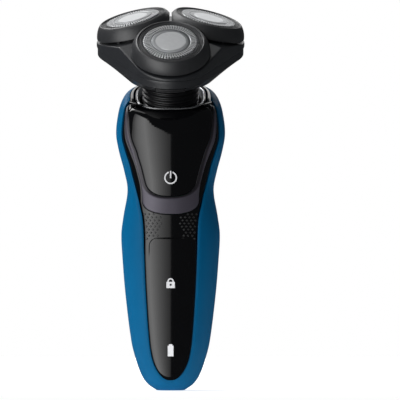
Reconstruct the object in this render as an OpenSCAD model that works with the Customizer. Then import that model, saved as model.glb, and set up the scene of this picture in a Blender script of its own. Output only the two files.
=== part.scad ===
// Cordless rotary shaver with three floating shaving units.
// Frame: +Z runs up the handle, -Y is the front, and the origin is at the centre of the flat base.
// The head has its own frame, tilted forwards, with its origin on the head axis at the cap plane.

/* [Handle] */
// Height of the neck rim's centre above the base
rim_z = 123.8; // [118:0.2:128]
// Distance of the neck rim's centre behind the base's centre
rim_y = 1; // [0:0.5:2]
// Wall thickness of the rear shell
shell_t = 1.8; // [1.4:0.1:2]
// Thickness of the front panels
panel_t = 1.6; // [1.2:0.1:1.8]
// Gap between the front panels and their neighbours, at the surface
seam = 0.15; // [0.1:0.05:0.3]

/* [Head] */
// Forward tilt of the head axis in degrees
head_tilt = 22.5; // [20:0.5:24]
// Height of the cap plane above the rim, along the head axis
cap_h = 31.4; // [31:0.1:33]
// Distance of each cap's centre from the head axis
unit_r = 18.4; // [18.2:0.1:18.8]
// Outward tilt of each cap in degrees
unit_tilt = 16; // [15:0.5:17]
// Radius of the head's three lobes
lobe_r = 16.6; // [16.4:0.1:16.8]
// Distance of each lobe's centre from the head axis
lobe_c = 16.7; // [16.5:0.1:17]
// Wall thickness of the head's mouldings
head_t = 1.5; // [1.2:0.1:1.6]

/* [Shaving units] */
// Outer radius of a steel cap
cap_r = 11.6; // [11.2:0.1:11.8]
// Radius of a holder ring at the cap plane
ring_top_r = 15.3; // [15:0.1:15.5]
// Radius of a holder ring's skirt at its lower edge
ring_low_r = 16.7; // [16.3:0.1:16.9]
// Depth of a holder ring's skirt
ring_h = 5.6; // [5:0.1:5.6]

/* [Drive] */
// Module of the drive gears
gear_module = 0.7; // [0.7:0.05:0.7]
// Number of teeth on the central pinion
pinion_teeth = 12; // [12:1:12]
// Number of teeth on each drive gear
gear_teeth = 36; // [36:1:36]
// Radius of the motor can
motor_r = 10.2; // [9.5:0.1:10.4]
// Thickness of the motor can across its flats
motor_flat = 14.6; // [13:0.2:15]
// Diameter of the battery cell
cell_d = 14.1; // [13:0.1:14.5]
// Length of the battery cell
cell_l = 50; // [45:1:52]

/* [Hidden] */
$fn = 64;
eps = 0.01;
unit_angles = [-90, 30, 150];
head_o = [0, rim_y - cap_h * sin(head_tilt), rim_z + cap_h * cos(head_tilt)];
gear_c = gear_module * (gear_teeth + pinion_teeth) / 2;

// Heights along the head axis, from the cap plane
cover_low = -12.3;
base_top = -12.4;
plate_top = -12;
plate_t = 0.6;
gear_t = 1.7;
gear_floor = -14.9;
base_edge = -15.7;
neck_top = -22.8;
neck_r = 18;
stem_low = -36;
stem_r = 10.5;
rib_r = 12;
rib_deep = 0.8;
rib_pitch = 2.2;
socket_floor = -37.3;
socket_r = 13;
socket_wall = 0.9;
rim_h = 2.6;
coupler_r = 3;
seal_r = 3.3;
boss_r = 1.9;
knuckle_half = 3.8;
pin_hole_r = 0.75;
motor_top = -38.6;
motor_low = -57.6;
pivot_z = -6.03;
deck_z = -6.6;
deck_t = 1.2;
unit_hole = 13.2;
plate_screw_r = 20.2;
sector_gap = 0.5;
sleeve_r = 12.9;
sleeve_low = -7;
hinge_y = 26.2;
hinge_z = -13;
knuckle_r = 1.7;

// ---- Curves of the handle: [height, value] stations joined by a smooth cubic ----
width_at = [[0, 5.9], [2.4, 9.4], [6, 12], [12, 14.3], [20, 16.4], [40, 18.95], [55, 20.2], [65.5, 20.7],
    [73, 19.8], [84, 18.1], [92, 19.5], [100, 21.6], [108, 22.9], [116, 22], [120.5, 20.4], [122.8, 18.4],
    [123.8, 15.6]];
front_at = [[0, 7], [2.4, 10], [6, 11.8], [12, 13], [20, 14], [40, 15], [60, 15.6], [73, 15.2], [84, 14.8],
    [96, 15.6], [108, 16.9], [116, 16.8], [120.5, 15.8], [122.8, 14.6], [123.8, 13.6]];
back_at = [[0, 8], [2.4, 11], [6, 13], [12, 14.4], [20, 15.8], [40, 17.4], [60, 18.8], [73, 18.6], [84, 18.8],
    [96, 21], [106, 21.9], [114, 21.2], [120.5, 18.6], [122.8, 16.8], [123.8, 15.4]];
// Half-widths of the panel openings as shares of the handle's half-width
panel_share = [[8, 0.53], [20, 0.552], [60, 0.55], [67, 0.557], [73, 0.61], [78, 0.70], [86, 0.84],
    [97, 0.872], [112, 0.905], [124, 0.92]];
bezel_share = [[73, 0.62], [80, 0.66], [85.6, 0.70], [98.6, 0.78], [113.5, 0.855], [124, 0.86]];
button_share = [[81, 0.54], [88, 0.585], [97, 0.655], [107, 0.745], [116.6, 0.79], [124, 0.79]];
panel_low = 4.3;
bezel_low = 73.9;
button_low = 81.3;

function seg(c, t, i = 0) = i >= len(c) - 2 || t < c[i + 1][0] ? i : seg(c, t, i + 1);
function slope(c, i) = i <= 0 ? (c[1][1] - c[0][1]) / (c[1][0] - c[0][0])
    : i >= len(c) - 1 ? (c[i][1] - c[i - 1][1]) / (c[i][0] - c[i - 1][0])
    : (c[i + 1][1] - c[i - 1][1]) / (c[i + 1][0] - c[i - 1][0]);
function hermite(a, b, ma, mb, h, u) =
    a * (2 * u^3 - 3 * u^2 + 1) + ma * h * (u^3 - 2 * u^2 + u)
    + b * (3 * u^2 - 2 * u^3) + mb * h * (u^3 - u^2);
function curve(c, t) = let (i = seg(c, t), h = c[i + 1][0] - c[i][0], u = min(max((t - c[i][0]) / h, 0), 1))
    hermite(c[i][1], c[i + 1][1], slope(c, i), slope(c, i + 1), h, u);
// A U-shaped outline: full width above its rounded bottom, which is round_h tall
function u_shape(w, t, low, round_h) = t <= low ? 0 : t >= low + round_h ? w
    : w * pow(1 - pow(1 - (t - low) / round_h, 2.4), 1 / 2.4);

// The cross-section is a superellipse that squares up towards the rim
function bow(t) = 2.3 + 0.6 * pow(min(max((t - 108) / 15.7, 0), 1), 2);
function tilt_k(t) = let (u = min(max((t - 92) / 28, 0), 1)) tan(head_tilt) * u * u * (3 - 2 * u);
function lift(t, y) = t + tilt_k(t) * (y - rim_y);
// A point of the handle's surface, inset by d: front half at x = s * half-width, or all round by angle
// Near the shoulder the inset goes down instead of inwards
function turn(t) = let (u = min(max((t - 117) / 6, 0), 1)) u * u * (3 - 2 * u);
function front_pt(s, t, d) = let (e = d * (1 - 0.96 * turn(t)), w = curve(width_at, t) - e,
    y = -(curve(front_at, t) - e) * pow(max(1 - pow(min(abs(s), 1), bow(t)), 0), 1 / bow(t)))
    [s * w, y, lift(t, y) - d * turn(t)];
function sgn_pow(v, e) = sign(v) * pow(abs(v), e);
function round_pt(a, t, d) = let (e = d * (1 - 0.96 * turn(t)), w = curve(width_at, t) - e,
    y = ((sin(a) < 0 ? curve(front_at, t) : curve(back_at, t)) - e) * sgn_pow(sin(a), 2 / bow(t)))
    [w * sgn_pow(cos(a), 2 / bow(t)), y, lift(t, y) - d * turn(t)];
function share_angle(s, t) = acos(pow(s, bow(t) / 2));

function panel_half(t) = u_shape(curve(panel_share, t), t, panel_low, 11);
function bezel_half(t) = u_shape(curve(bezel_share, t), t, bezel_low, 6.5);
function button_half(t) = u_shape(curve(button_share, t), t, button_low, 6);

// ---- A wall between two grids of points, open where keep(i, j) is false ----
// outer and inner hold rows of columns; wrap joins the last column to the first.
module wall(outer, inner, keep, wrap) {
    rows = len(outer);
    cols = len(outer[0]);
    half = rows * cols;
    last = wrap ? cols : cols - 1;
    pts = concat([for (r = outer) each r], [for (r = inner) each r]);
    function at(i, j) = j * cols + (i % cols);
    function held(i, j) = j < 0 || j > rows - 2 ? false
        : !wrap && (i < 0 || i > cols - 2) ? false : keep((i + cols) % cols, j);
    faces = [for (j = [0:rows - 2], i = [0:last - 1]) if (held(i, j)) each concat(
        [[at(i, j), at(i, j + 1), at(i + 1, j + 1)], [at(i, j), at(i + 1, j + 1), at(i + 1, j)]],
        [[half + at(i, j), half + at(i + 1, j + 1), half + at(i, j + 1)],
            [half + at(i, j), half + at(i + 1, j), half + at(i + 1, j + 1)]],
        held(i, j - 1) ? [] : edge_faces(at(i, j), at(i + 1, j), half),
        held(i, j + 1) ? [] : edge_faces(at(i + 1, j + 1), at(i, j + 1), half),
        held(i - 1, j) ? [] : edge_faces(at(i, j + 1), at(i, j), half),
        held(i + 1, j) ? [] : edge_faces(at(i + 1, j), at(i + 1, j + 1), half))];
    polyhedron(pts, faces);
}
function edge_faces(a, b, half) = [[a, b, half + b], [a, half + b, half + a]];

// ---- Handle shells ----
back_cols = 30;
front_cols = 8;
function bottom_rows(low, h) = [for (q = [0.02, 0.1, 0.25, 0.5, 0.8]) low + h * q];
low_rows = bottom_rows(panel_low + 0.2, 9);
mid_rows = [15, 22, 30, 40, 50, 58, 62, 66, 70];
arm_rows = [82, 88, 94, 100, 106, 112, 117, 120, 122, 123.1, 123.65];
shell_rows = concat([0, 1.2, 2.4, panel_low, panel_low + 0.1], low_rows, mid_rows, [bezel_low, 78], arm_rows);
function spread(n, a, b) = [for (i = [0:n]) a + (b - a) * i / n];
// Angles of one ring: round the back from edge to edge, then across the front opening
function ring_angles(t) = let (h = max(panel_half(max(t, panel_low + 0.02)) + seam / 12, 0.05),
    e = share_angle(h, t)) concat(spread(back_cols, -e, 180 + e),
    [for (a = spread(front_cols, 180 + e, 360 - e)) if (a > 180 + e && a < 360 - e - eps) a]);
hole_x = 4.4;
hole_y = 3;
hole_at = 3.4;
function hole_pt(a, z) = [hole_x * sgn_pow(cos(a), 2 / 3), hole_at + hole_y * sgn_pow(sin(a), 2 / 3), z];

module rear_shell() {
    outer = concat([[for (a = ring_angles(0)) hole_pt(a, 0)]],
        [for (t = shell_rows) [for (a = ring_angles(t)) round_pt(a, t, 0)]]);
    inner = concat([[for (a = ring_angles(0)) hole_pt(a, shell_t)]],
        [for (t = shell_rows) let (v = max(t, shell_t + t * 0.15))
            [for (a = ring_angles(t)) round_pt(a, v, shell_t)]]);
    color([0.0, 0.35, 0.55]) wall(outer, inner, function (i, j) j < 4 || i < back_cols, true);
}

module skin(rows, halves, t_in, thick, keep) {
    color([0.09, 0.09, 0.10]) wall(
        [for (t = rows) [for (s = halves(t)) front_pt(s, t, t_in)]],
        [for (t = rows) [for (s = halves(t)) front_pt(s, t, t_in + thick)]], keep, false);
}
function mirror_cols(v) = concat([for (i = [len(v) - 1:-1:0]) -v[i]], v);

module front_panel() {
    rows = concat(low_rows, mid_rows, [bezel_low + 0.05],
        bottom_rows(bezel_low + 0.2, 5), arm_rows);
    first_open = 15;
    halves = function (t) let (p = panel_half(t) - seam / 20,
        b = min(max(bezel_half(t) + seam / 20, 0.09), 0.96 * p))
        mirror_cols([b * 0.33, b, b + (p - b) * 0.33, b + (p - b) * 0.67, p]);
    skin(rows, halves, 0, panel_t, function (i, j) j < first_open || i < 3 || i > 5);
}

module bezel_frame() {
    rows = concat(bottom_rows(bezel_low + 0.2, 5), [80.2, button_low - 0.1],
        bottom_rows(button_low + 0.05, 5), [for (t = arm_rows) if (t > 87) t]);
    halves = function (t) let (p = bezel_half(t) - seam / 20,
        b = min(max(button_half(t) + seam / 10, 0.09), 0.96 * p)) mirror_cols([b * 0.5, b, (b + p) / 2, p]);
    skin(rows, halves, 0, panel_t, function (i, j) j < 7 || i < 2 || i > 4);
}

post_z = 89;
post_y = -12.5;
post_l = 1.4;
module power_button() {
    rows = concat(bottom_rows(button_low + 0.2, 5), [for (t = arm_rows) if (t > 87) t]);
    halves = function (t) let (p = button_half(t) - seam / 20)
        mirror_cols([for (q = [0.17, 0.5, 0.83, 1]) q * p]);
    skin(rows, halves, 0, panel_t, function (i, j) true);
    color([0.09, 0.09, 0.10]) translate([0, post_y, post_z]) rotate([90, 0, 0]) cylinder(r = 1.2, h = post_l);
}

// ---- Icons: small clear lenses that stand a hair proud of the panels ----
lens_t = 0.12;
module on_front(z) {
    lean = atan((front_pt(0, z + 1, 0)[1] - front_pt(0, z - 1, 0)[1]) / 2);
    translate([0, front_pt(0, z, 0)[1], z]) rotate([90 - lean, 0, 0]) translate([0, 0, 0.03]) children();
}
module power_icon_lens() {
    color("white") on_front(89.1) linear_extrude(lens_t) {
        difference() {
            circle(r = 2.67);
            circle(r = 2.12);
            translate([-0.8, 0]) square([1.6, 4]);
        }
        translate([-0.28, -0.2]) square([0.56, 3.1]);
    }
}
module lock_icon_lens() {
    color("white") on_front(45.2) linear_extrude(lens_t) {
        difference() {
            translate([-1.75, -2.2]) square([3.5, 2.6]);
            translate([0, -0.8]) circle(r = 0.45);
        }
        difference() {
            translate([0, 0.6]) circle(r = 1.35);
            translate([0, 0.6]) circle(r = 0.8);
            translate([-2, -1.6]) square([4, 2]);
        }
    }
}
module battery_icon_lens() {
    color("white") on_front(17) linear_extrude(lens_t) {
        translate([-1.2, -2.55]) square([2.4, 4.5]);
        translate([-0.7, 1.95]) square([1.4, 0.6]);
    }
}

// ---- Neck: rim and coupling socket, in the head's frame ----
module in_head() {
    translate(head_o) rotate([head_tilt, 0, 0]) children();
}
rim_out = 14.9;
rim_in = 14.25;
function rim_ring(r, z) = [for (a = spread(47, 0, 352.5))
    [r * sgn_pow(cos(a), 2 / 2.9), r * sgn_pow(sin(a), 2 / 2.9), z]];
module neck_rim() {
    z = -cap_h;
    outer = [rim_ring(rim_out, z - rim_h), rim_ring(rim_out, z - 0.5), rim_ring(rim_out - 0.3, z)];
    inner = [rim_ring(socket_r - 0.3, z - rim_h), rim_ring(socket_r + 0.3, z - rim_h / 2),
        rim_ring(rim_in, z - 0.1)];
    color([0.75, 0.76, 0.78]) in_head() wall(outer, inner, function (i, j) true, true);
}
module coupling_socket() {
    low = socket_floor - 1.2;
    color([0.07, 0.07, 0.07]) in_head() difference() {
        translate([0, 0, low]) cylinder(r = socket_r + socket_wall, h = -cap_h - rim_h - 0.1 - low);
        translate([0, 0, socket_floor]) cylinder(r = socket_r, h = 10);
        translate([0, 0, socket_floor - 2]) cylinder(r = seal_r, h = 4);
    }
}
module shaft_seal() {
    color([0.2, 0.2, 0.2]) in_head() translate([0, 0, socket_floor - 1.1]) rotate_extrude()
        polygon([[1.15, 0], [3.25, 0], [3.25, 1], [2, 1], [1.15, 0.4]]);
}

// ---- Inside the handle ----
chassis_y = -6.8;
chassis_t = 1.6;
screw_x = 5.5;
screw_zs = [22, 80];
board_y = -9;
board_t = 1.2;
board_w = 15;
cell_y = 3.5;
cell_z = 24;
module inner_chassis() {
    color([0.55, 0.56, 0.58]) difference() {
        union() {
            translate([-11.5, chassis_y, 17]) cube([23, chassis_t, 77]);
            for (z = [30, 68]) translate([-10.5, chassis_y + eps, z]) cube([21, 12, 2.4]);
            for (z = screw_zs) for (x = [-screw_x, screw_x])
                translate([x, chassis_y + eps, z]) rotate([90, 0, 0])
                cylinder(r = 1.4, h = chassis_y - board_y - 0.1);
        }
        translate([0, cell_y, 10]) cylinder(r = cell_d / 2 + 0.1, h = 90);
        for (z = screw_zs) for (x = [-screw_x, screw_x])
            translate([x, 10, z]) rotate([90, 0, 0]) cylinder(r = 0.75, h = 40);
    }
}
module chassis_screws() {
    color("silver") for (z = screw_zs) for (x = [-screw_x, screw_x]) translate([x, 0, z]) rotate([90, 0, 0]) {
        translate([0, 0, -chassis_y - chassis_t - 0.1]) cylinder(r = 0.7, h = 3.4);
        translate([0, 0, -chassis_y - chassis_t - 1]) cylinder(r = 1.4, h = 0.98);
    }
}
module battery_cell() {
    color([0.2, 0.5, 0.3]) translate([0, cell_y, cell_z]) {
        cylinder(r = cell_d / 2, h = cell_l);
        translate([0, 0, cell_l - eps]) cylinder(r = 2.8, h = 1.2);
    }
}
module battery_tabs() {
    color("silver") {
        translate([-2, cell_y - 8.4, cell_z + cell_l + 1.2]) cube([4, 8.4, 0.25]);
        translate([-2, cell_y - 8.4, cell_z - 0.27]) cube([4, 8.4, 0.25]);
    }
}
module circuit_board() {
    color([0.05, 0.35, 0.2]) translate([-board_w / 2, board_y - board_t, 15.5]) cube([board_w, board_t, 78]);
}
module tact_switch() {
    color([0.3, 0.3, 0.3]) translate([0, board_y - board_t, post_z]) rotate([90, 0, 0]) {
        translate([-3, -3, 0]) cube([6, 6, 1.2]);
        cylinder(r = 1.6, h = 1.7);
    }
}
module status_leds() {
    color([0.9, 0.9, 0.85]) for (z = [17, 45.2, 79.5])
        translate([-1, board_y - board_t - 0.8, z - 0.6]) cube([2, 0.8, 1.2]);
}
module charge_controller() {
    color([0.12, 0.12, 0.12]) translate([-3.5, board_y - board_t - 1.2, 26]) cube([7, 1.2, 7]);
}

// ---- Charging inlet in the base ----
module stadium(w, h) {
    square([w - h, h], center = true);
    for (x = [-1, 1]) translate([x * (w - h) / 2, 0]) circle(d = h);
}
module inlet_housing() {
    color([0.1, 0.1, 0.1]) translate([0, hole_at, 0]) difference() {
        union() {
            translate([0, 0, 0.3]) linear_extrude(11.7) stadium(8.4, 5.6);
            translate([0, 0, shell_t + 0.1]) linear_extrude(1.2) stadium(10.6, 7.4);
        }
        translate([0, 0, -1]) linear_extrude(10.5) stadium(6.6, 3.9);
        for (x = [-1.5, 1.5]) translate([x, 0, 8]) cylinder(r = 0.5, h = 5);
    }
}
module inlet_pins() {
    color("gold") for (x = [-1.5, 1.5]) translate([x, hole_at, 2.5]) cylinder(r = 0.5, h = 12);
}

// ---- Motor ----
module flat_can(r, flat, h) {
    intersection() {
        cylinder(r = r, h = h);
        translate([-r, -flat / 2, -eps]) cube([2 * r, flat, h + 2 * eps]);
    }
}
module motor_can() {
    color([0.7, 0.71, 0.73]) in_head() difference() {
        translate([0, 0, motor_low]) flat_can(motor_r, motor_flat, motor_top - motor_low - 0.02);
        translate([0, 0, motor_low - 1]) cylinder(r = 1.4, h = 30);
    }
}
module motor_end_cap() {
    color([0.15, 0.15, 0.16]) in_head() translate([0, 0, motor_low - 2.2])
        flat_can(motor_r - 0.4, motor_flat - 0.6, 2.18);
}
module motor_shaft() {
    color("silver") in_head() translate([0, 0, motor_low + 0.2]) cylinder(r = 1, h = 23.2);
}
hex_r = 1.7;
module drive_coupler() {
    color([0.85, 0.85, 0.8]) in_head() translate([0, 0, socket_floor + 0.4]) difference() {
        cylinder(r = coupler_r, h = 5.2);
        translate([0, 0, -eps]) cylinder(r = 1, h = 3);
        translate([0, 0, 2.6]) cylinder(r = hex_r + 0.14, h = 3, $fn = 6);
    }
}

// ---- Head base: a rounded triangle that narrows to the neck stem ----
module outline(grow = 0) {
    polygon([for (a = unit_angles) for (q = spread(24, -60, 60))
        [lobe_c * cos(a) + (lobe_r + grow) * cos(a + q), lobe_c * sin(a) + (lobe_r + grow) * sin(a + q)]]);
}
module hinge_rod(x, r, h) {
    translate([x, hinge_y, hinge_z]) rotate([0, 90, 0]) cylinder(r = r, h = h);
}
module head_base() {
    color([0.08, 0.08, 0.09]) in_head() for (a = unit_angles) rotate(a + 60)
        translate([plate_screw_r, 0, gear_floor - 0.1]) difference() {
            cylinder(r = boss_r, h = plate_top - plate_t - gear_floor + 0.05);
            translate([0, 0, 0.3]) cylinder(r = 0.87, h = 5);
        }
    color([0.08, 0.08, 0.09]) in_head() difference() {
        union() {
            intersection() {
                translate([0, 0, neck_top]) linear_extrude(base_top - neck_top) outline(-0.4);
                union() {
                    translate([0, 0, neck_top - eps])
                        cylinder(r1 = neck_r, r2 = 33.2, h = base_edge - neck_top + eps, $fn = 128);
                    translate([0, 0, base_edge - eps]) cylinder(r = 40, h = 10);
                }
            }
            translate([0, 0, stem_low]) cylinder(r = stem_r, h = neck_top - stem_low + 0.1);
            hinge_rod(-knuckle_half, knuckle_r, 2 * knuckle_half);
            translate([-knuckle_half, 23, hinge_z - knuckle_r])
                cube([2 * knuckle_half, hinge_y - 23, knuckle_r]);
        }
        translate([0, 0, gear_floor]) linear_extrude(10) outline(-head_t - 0.2);
        translate([0, 0, -18.4]) cylinder(r = 7.2, h = 10);
        translate([0, 0, stem_low + 3]) cylinder(r = stem_r - 1.6, h = 11);
        translate([0, 0, stem_low - 1]) cylinder(r = coupler_r + 0.8, h = 6);
        translate([0, 0, -26]) cylinder(r = 1.56, h = 10);
        translate([-6.3, -40, -18.2]) cube([12.6, 40 - 25.2, 2.4]);
        for (x = [-9.5, knuckle_half]) hinge_rod(x, knuckle_r + 0.4, 5.7);
        hinge_rod(-5, pin_hole_r, 10);
    }
}
module neck_sleeve() {
    low = stem_low + 2;
    high = neck_top - 0.1;
    ribs = [for (i = [0:3]) let (z = high - 1.5 - rib_pitch * i)
        each [[rib_r, z], [rib_r - rib_deep, z - 0.4], [rib_r - rib_deep, z - 1.2], [rib_r, z - 1.6]]];
    color([0.12, 0.12, 0.12]) in_head() rotate_extrude()
        polygon(concat([[stem_r + 0.03, low], [stem_r + 0.03, high], [rib_r, high]], ribs, [[rib_r, low]]));
}
module gear_plate() {
    color([0.3, 0.3, 0.32]) in_head() difference() {
        translate([0, 0, plate_top - plate_t]) linear_extrude(plate_t) outline(-head_t - 0.55);
        for (a = unit_angles) {
            rotate(a) translate([gear_c, 0, -20]) cylinder(r = 2.05, h = 20);
            rotate(a + 60) translate([plate_screw_r, 0, -20]) cylinder(r = 0.9, h = 20);
        }
    }
}
module gear_plate_screws() {
    color("silver") in_head() for (a = unit_angles) rotate(a + 60) translate([plate_screw_r, 0, plate_top]) {
        translate([0, 0, 0.02]) cylinder(r = 1.6, h = 0.9);
        translate([0, 0, -2.6]) cylinder(r = 0.85, h = 2.63);
    }
}

// ---- Gears: straight teeth with a little backlash ----
module gear_2d(teeth, phase) {
    r = gear_module * teeth / 2;
    tip = r + 0.62;
    root = r - 0.85;
    step = 360 / teeth;
    corners = [[root, -0.3], [tip, -0.11], [tip, 0.11], [root, 0.3]];
    polygon([for (i = [0:teeth - 1]) for (c = corners) let (a = phase + (i + c[1]) * step)
        c[0] * [cos(a), sin(a)]]);
}
module central_pinion() {
    color([0.9, 0.9, 0.86]) in_head() {
        translate([0, 0, gear_floor + 0.3]) linear_extrude(gear_t) gear_2d(pinion_teeth, 0);
        translate([0, 0, gear_floor - 18]) cylinder(r = 1.5, h = 18.4);
        translate([0, 0, gear_floor - 19.2]) cylinder(r = hex_r, h = 1.4, $fn = 6);
    }
}
module gear_at(i) {
    color([0.92, 0.92, 0.9]) in_head() rotate(unit_angles[i]) translate([gear_c, 0, gear_floor + 0.3])
        difference() {
            linear_extrude(gear_t) gear_2d(gear_teeth, 5);
            translate([0, 0, -1]) cylinder(r = 1.2, h = 5);
        }
}
ball_r = 1.3;
module spindle_at(i) {
    color([0.8, 0.8, 0.82]) in_head() rotate(unit_angles[i]) translate([gear_c, 0, 0]) {
        translate([0, 0, gear_floor + 0.3]) cylinder(r = 1.18, h = gear_t + 0.5);
        translate([0, 0, gear_floor + 0.3 + gear_t + 0.02]) cylinder(r = 1.95, h = 3.4);
        translate([0, 0, -9.6]) cylinder(r = 0.9, h = 3.4);
        translate([0, 0, -5.8]) sphere(r = ball_r);
    }
}
module drive_gear_1() { gear_at(0); }
module drive_gear_2() { gear_at(1); }
module drive_gear_3() { gear_at(2); }
module drive_spindle_1() { spindle_at(0); }
module drive_spindle_2() { spindle_at(1); }
module drive_spindle_3() { spindle_at(2); }

// ---- Head cover, which swings up at the back on its hinge ----
module unit_frame(a) {
    rotate(a) translate([unit_r, 0, 0]) rotate([0, unit_tilt, 0]) children();
}
module roofed(grow, top) {
    difference() {
        translate([0, 0, cover_low]) linear_extrude(14) outline(grow);
        for (a = unit_angles) unit_frame(a) translate([-60, -60, top]) cube([120, 120, 40]);
    }
}
module head_cover() {
    color([0.09, 0.09, 0.10]) in_head() difference() {
        union() {
            difference() {
                roofed(0, deck_z);
                translate([0, 0, -eps]) roofed(-head_t, deck_z - deck_t);
            }
            for (a = unit_angles) unit_frame(a) for (s = [-1, 1])
                translate([-1.6, s * 14.6 - 0.9, deck_z - 0.3]) cube([3.2, 1.8, 1]);
            for (s = [-1, 1]) translate([s * 6.65 - 2.45, 0, 0]) {
                hinge_rod(0, knuckle_r, 4.9);
                translate([0, 24, hinge_z + 0.7]) cube([4.9, hinge_y - 24, 1]);
            }
        }
        for (a = unit_angles) unit_frame(a) {
            translate([0, 0, -12]) cylinder(r = unit_hole, h = 12);
            translate([0, 20, pivot_z]) rotate([90, 0, 0]) cylinder(r = 0.9, h = 40);
            translate([-0.9, -20, pivot_z]) cube([1.8, 40, 4]);
        }
        hinge_rod(-knuckle_half - 0.3, knuckle_r + 0.3, 2 * knuckle_half + 0.6);
        hinge_rod(-12, pin_hole_r, 24);
    }
}
module hinge_pin() {
    color("silver") in_head() hinge_rod(-8.9, pin_hole_r - 0.05, 17.8);
}
module release_button() {
    color([0.12, 0.12, 0.13]) in_head() intersection() {
        translate([-6, -33.3, -17.3]) cube([12, 6.5, 1.3]);
        rotate(-90) translate([lobe_c, 0, -20]) cylinder(r = lobe_r - 0.3, h = 10, $fn = 128);
    }
}

// ---- One shaving unit: ring, steel guard, cutter and retainer, in the unit's frame ----
module unit_sector(i) {
    intersection() {
        in_head() rotate(unit_angles[i]) linear_extrude(60, center = true)
            polygon([[sector_gap / sin(60), 0], [60 + sector_gap / sin(60), 60 * tan(60)],
                [60 + sector_gap / sin(60), -60 * tan(60)]]);
        children();
    }
}
module ring_at(i) {
    color([0.10, 0.10, 0.11]) unit_sector(i) in_head() unit_frame(unit_angles[i]) {
        rotate_extrude() polygon([[cap_r + 0.15, -0.35], [12.5, -0.35], [13.7, -0.25], [14.4, 0.05],
            [ring_top_r, -0.5], [ring_low_r, -ring_h], [ring_low_r - 1.1, -ring_h], [14.2, -1.6],
            [sleeve_r, -1.6], [sleeve_r, sleeve_low], [cap_r + 0.5, sleeve_low], [cap_r + 0.5, -4.5],
            [cap_r + 0.15, -4.5]]);
        for (a = [0, 180]) rotate(a) translate([0, 0, pivot_z]) rotate([90, 0, 0])
            translate([0, 0, sleeve_r - 0.3]) cylinder(r = 0.8, h = 2.6);
    }
}
module guard_at(i) {
    color([0.8, 0.8, 0.82]) in_head() unit_frame(unit_angles[i]) rotate_extrude()
        polygon([[0, 0.1], [7.2, 0.1], [7.5, -0.15], [7.8, 0], [9.6, 0], [9.8, -0.3], [10, 0],
            [cap_r - 0.4, 0],
            [cap_r, -0.4], [cap_r, -4.4], [cap_r + 0.4, -4.7], [cap_r + 0.4, -5.1], [cap_r - 0.3, -5.1],
            [cap_r - 0.3, -0.5], [0, -0.5]]);
}
module cutter_at(i) {
    color([0.75, 0.75, 0.78]) in_head() unit_frame(unit_angles[i]) difference() {
        union() {
            translate([0, 0, -2.6]) cylinder(r = 10.6, h = 0.6);
            for (b = [0:14]) rotate(b * 24) translate([8.4, -0.3, -2.1]) cube([2.1, 0.6, 1.35]);
            translate([0, 0, -7.9]) cylinder(r = 3.1, h = 5.4);
        }
        translate([0, 0, pivot_z]) sphere(r = ball_r + 0.12);
        translate([0, 0, -9]) cylinder(r1 = 2.3, r2 = ball_r + 0.12, h = 3);
    }
}
module retainer_at(i) {
    color([0.25, 0.25, 0.27]) in_head() unit_frame(unit_angles[i]) difference() {
        translate([0, 0, -6.6]) cylinder(r = cap_r + 0.45, h = 1.3);
        translate([0, 0, -8]) cylinder(r = 9.8, h = 4);
    }
}
module ring_1() { ring_at(0); }
module ring_2() { ring_at(1); }
module ring_3() { ring_at(2); }
module guard_1() { guard_at(0); }
module guard_2() { guard_at(1); }
module guard_3() { guard_at(2); }
module cutter_1() { cutter_at(0); }
module cutter_2() { cutter_at(1); }
module cutter_3() { cutter_at(2); }
module retainer_1() { retainer_at(0); }
module retainer_2() { retainer_at(1); }
module retainer_3() { retainer_at(2); }

// ---- The pieces ----
rear_shell();
front_panel();
bezel_frame();
power_button();
power_icon_lens();
lock_icon_lens();
battery_icon_lens();
neck_rim();
coupling_socket();
shaft_seal();
inner_chassis();
chassis_screws();
battery_cell();
battery_tabs();
circuit_board();
tact_switch();
status_leds();
charge_controller();
inlet_housing();
inlet_pins();
motor_can();
motor_end_cap();
motor_shaft();
drive_coupler();
head_base();
neck_sleeve();
gear_plate();
gear_plate_screws();
central_pinion();
drive_gear_1();
drive_gear_2();
drive_gear_3();
drive_spindle_1();
drive_spindle_2();
drive_spindle_3();
head_cover();
hinge_pin();
release_button();
ring_1();
ring_2();
ring_3();
guard_1();
guard_2();
guard_3();
cutter_1();
cutter_2();
cutter_3();
retainer_1();
retainer_2();
retainer_3();
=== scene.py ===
"""Cordless rotary shaver, standing on its base.

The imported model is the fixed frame: millimetre sizes below are turned to metres where a mesh is placed.
The handle's pieces are skins over one smooth body, and the head's pieces are turned about the tilted head
axis or about the axis of one of the three shaving units.
"""

import math

import bmesh
import bpy
from mathutils import Matrix, Vector


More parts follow.
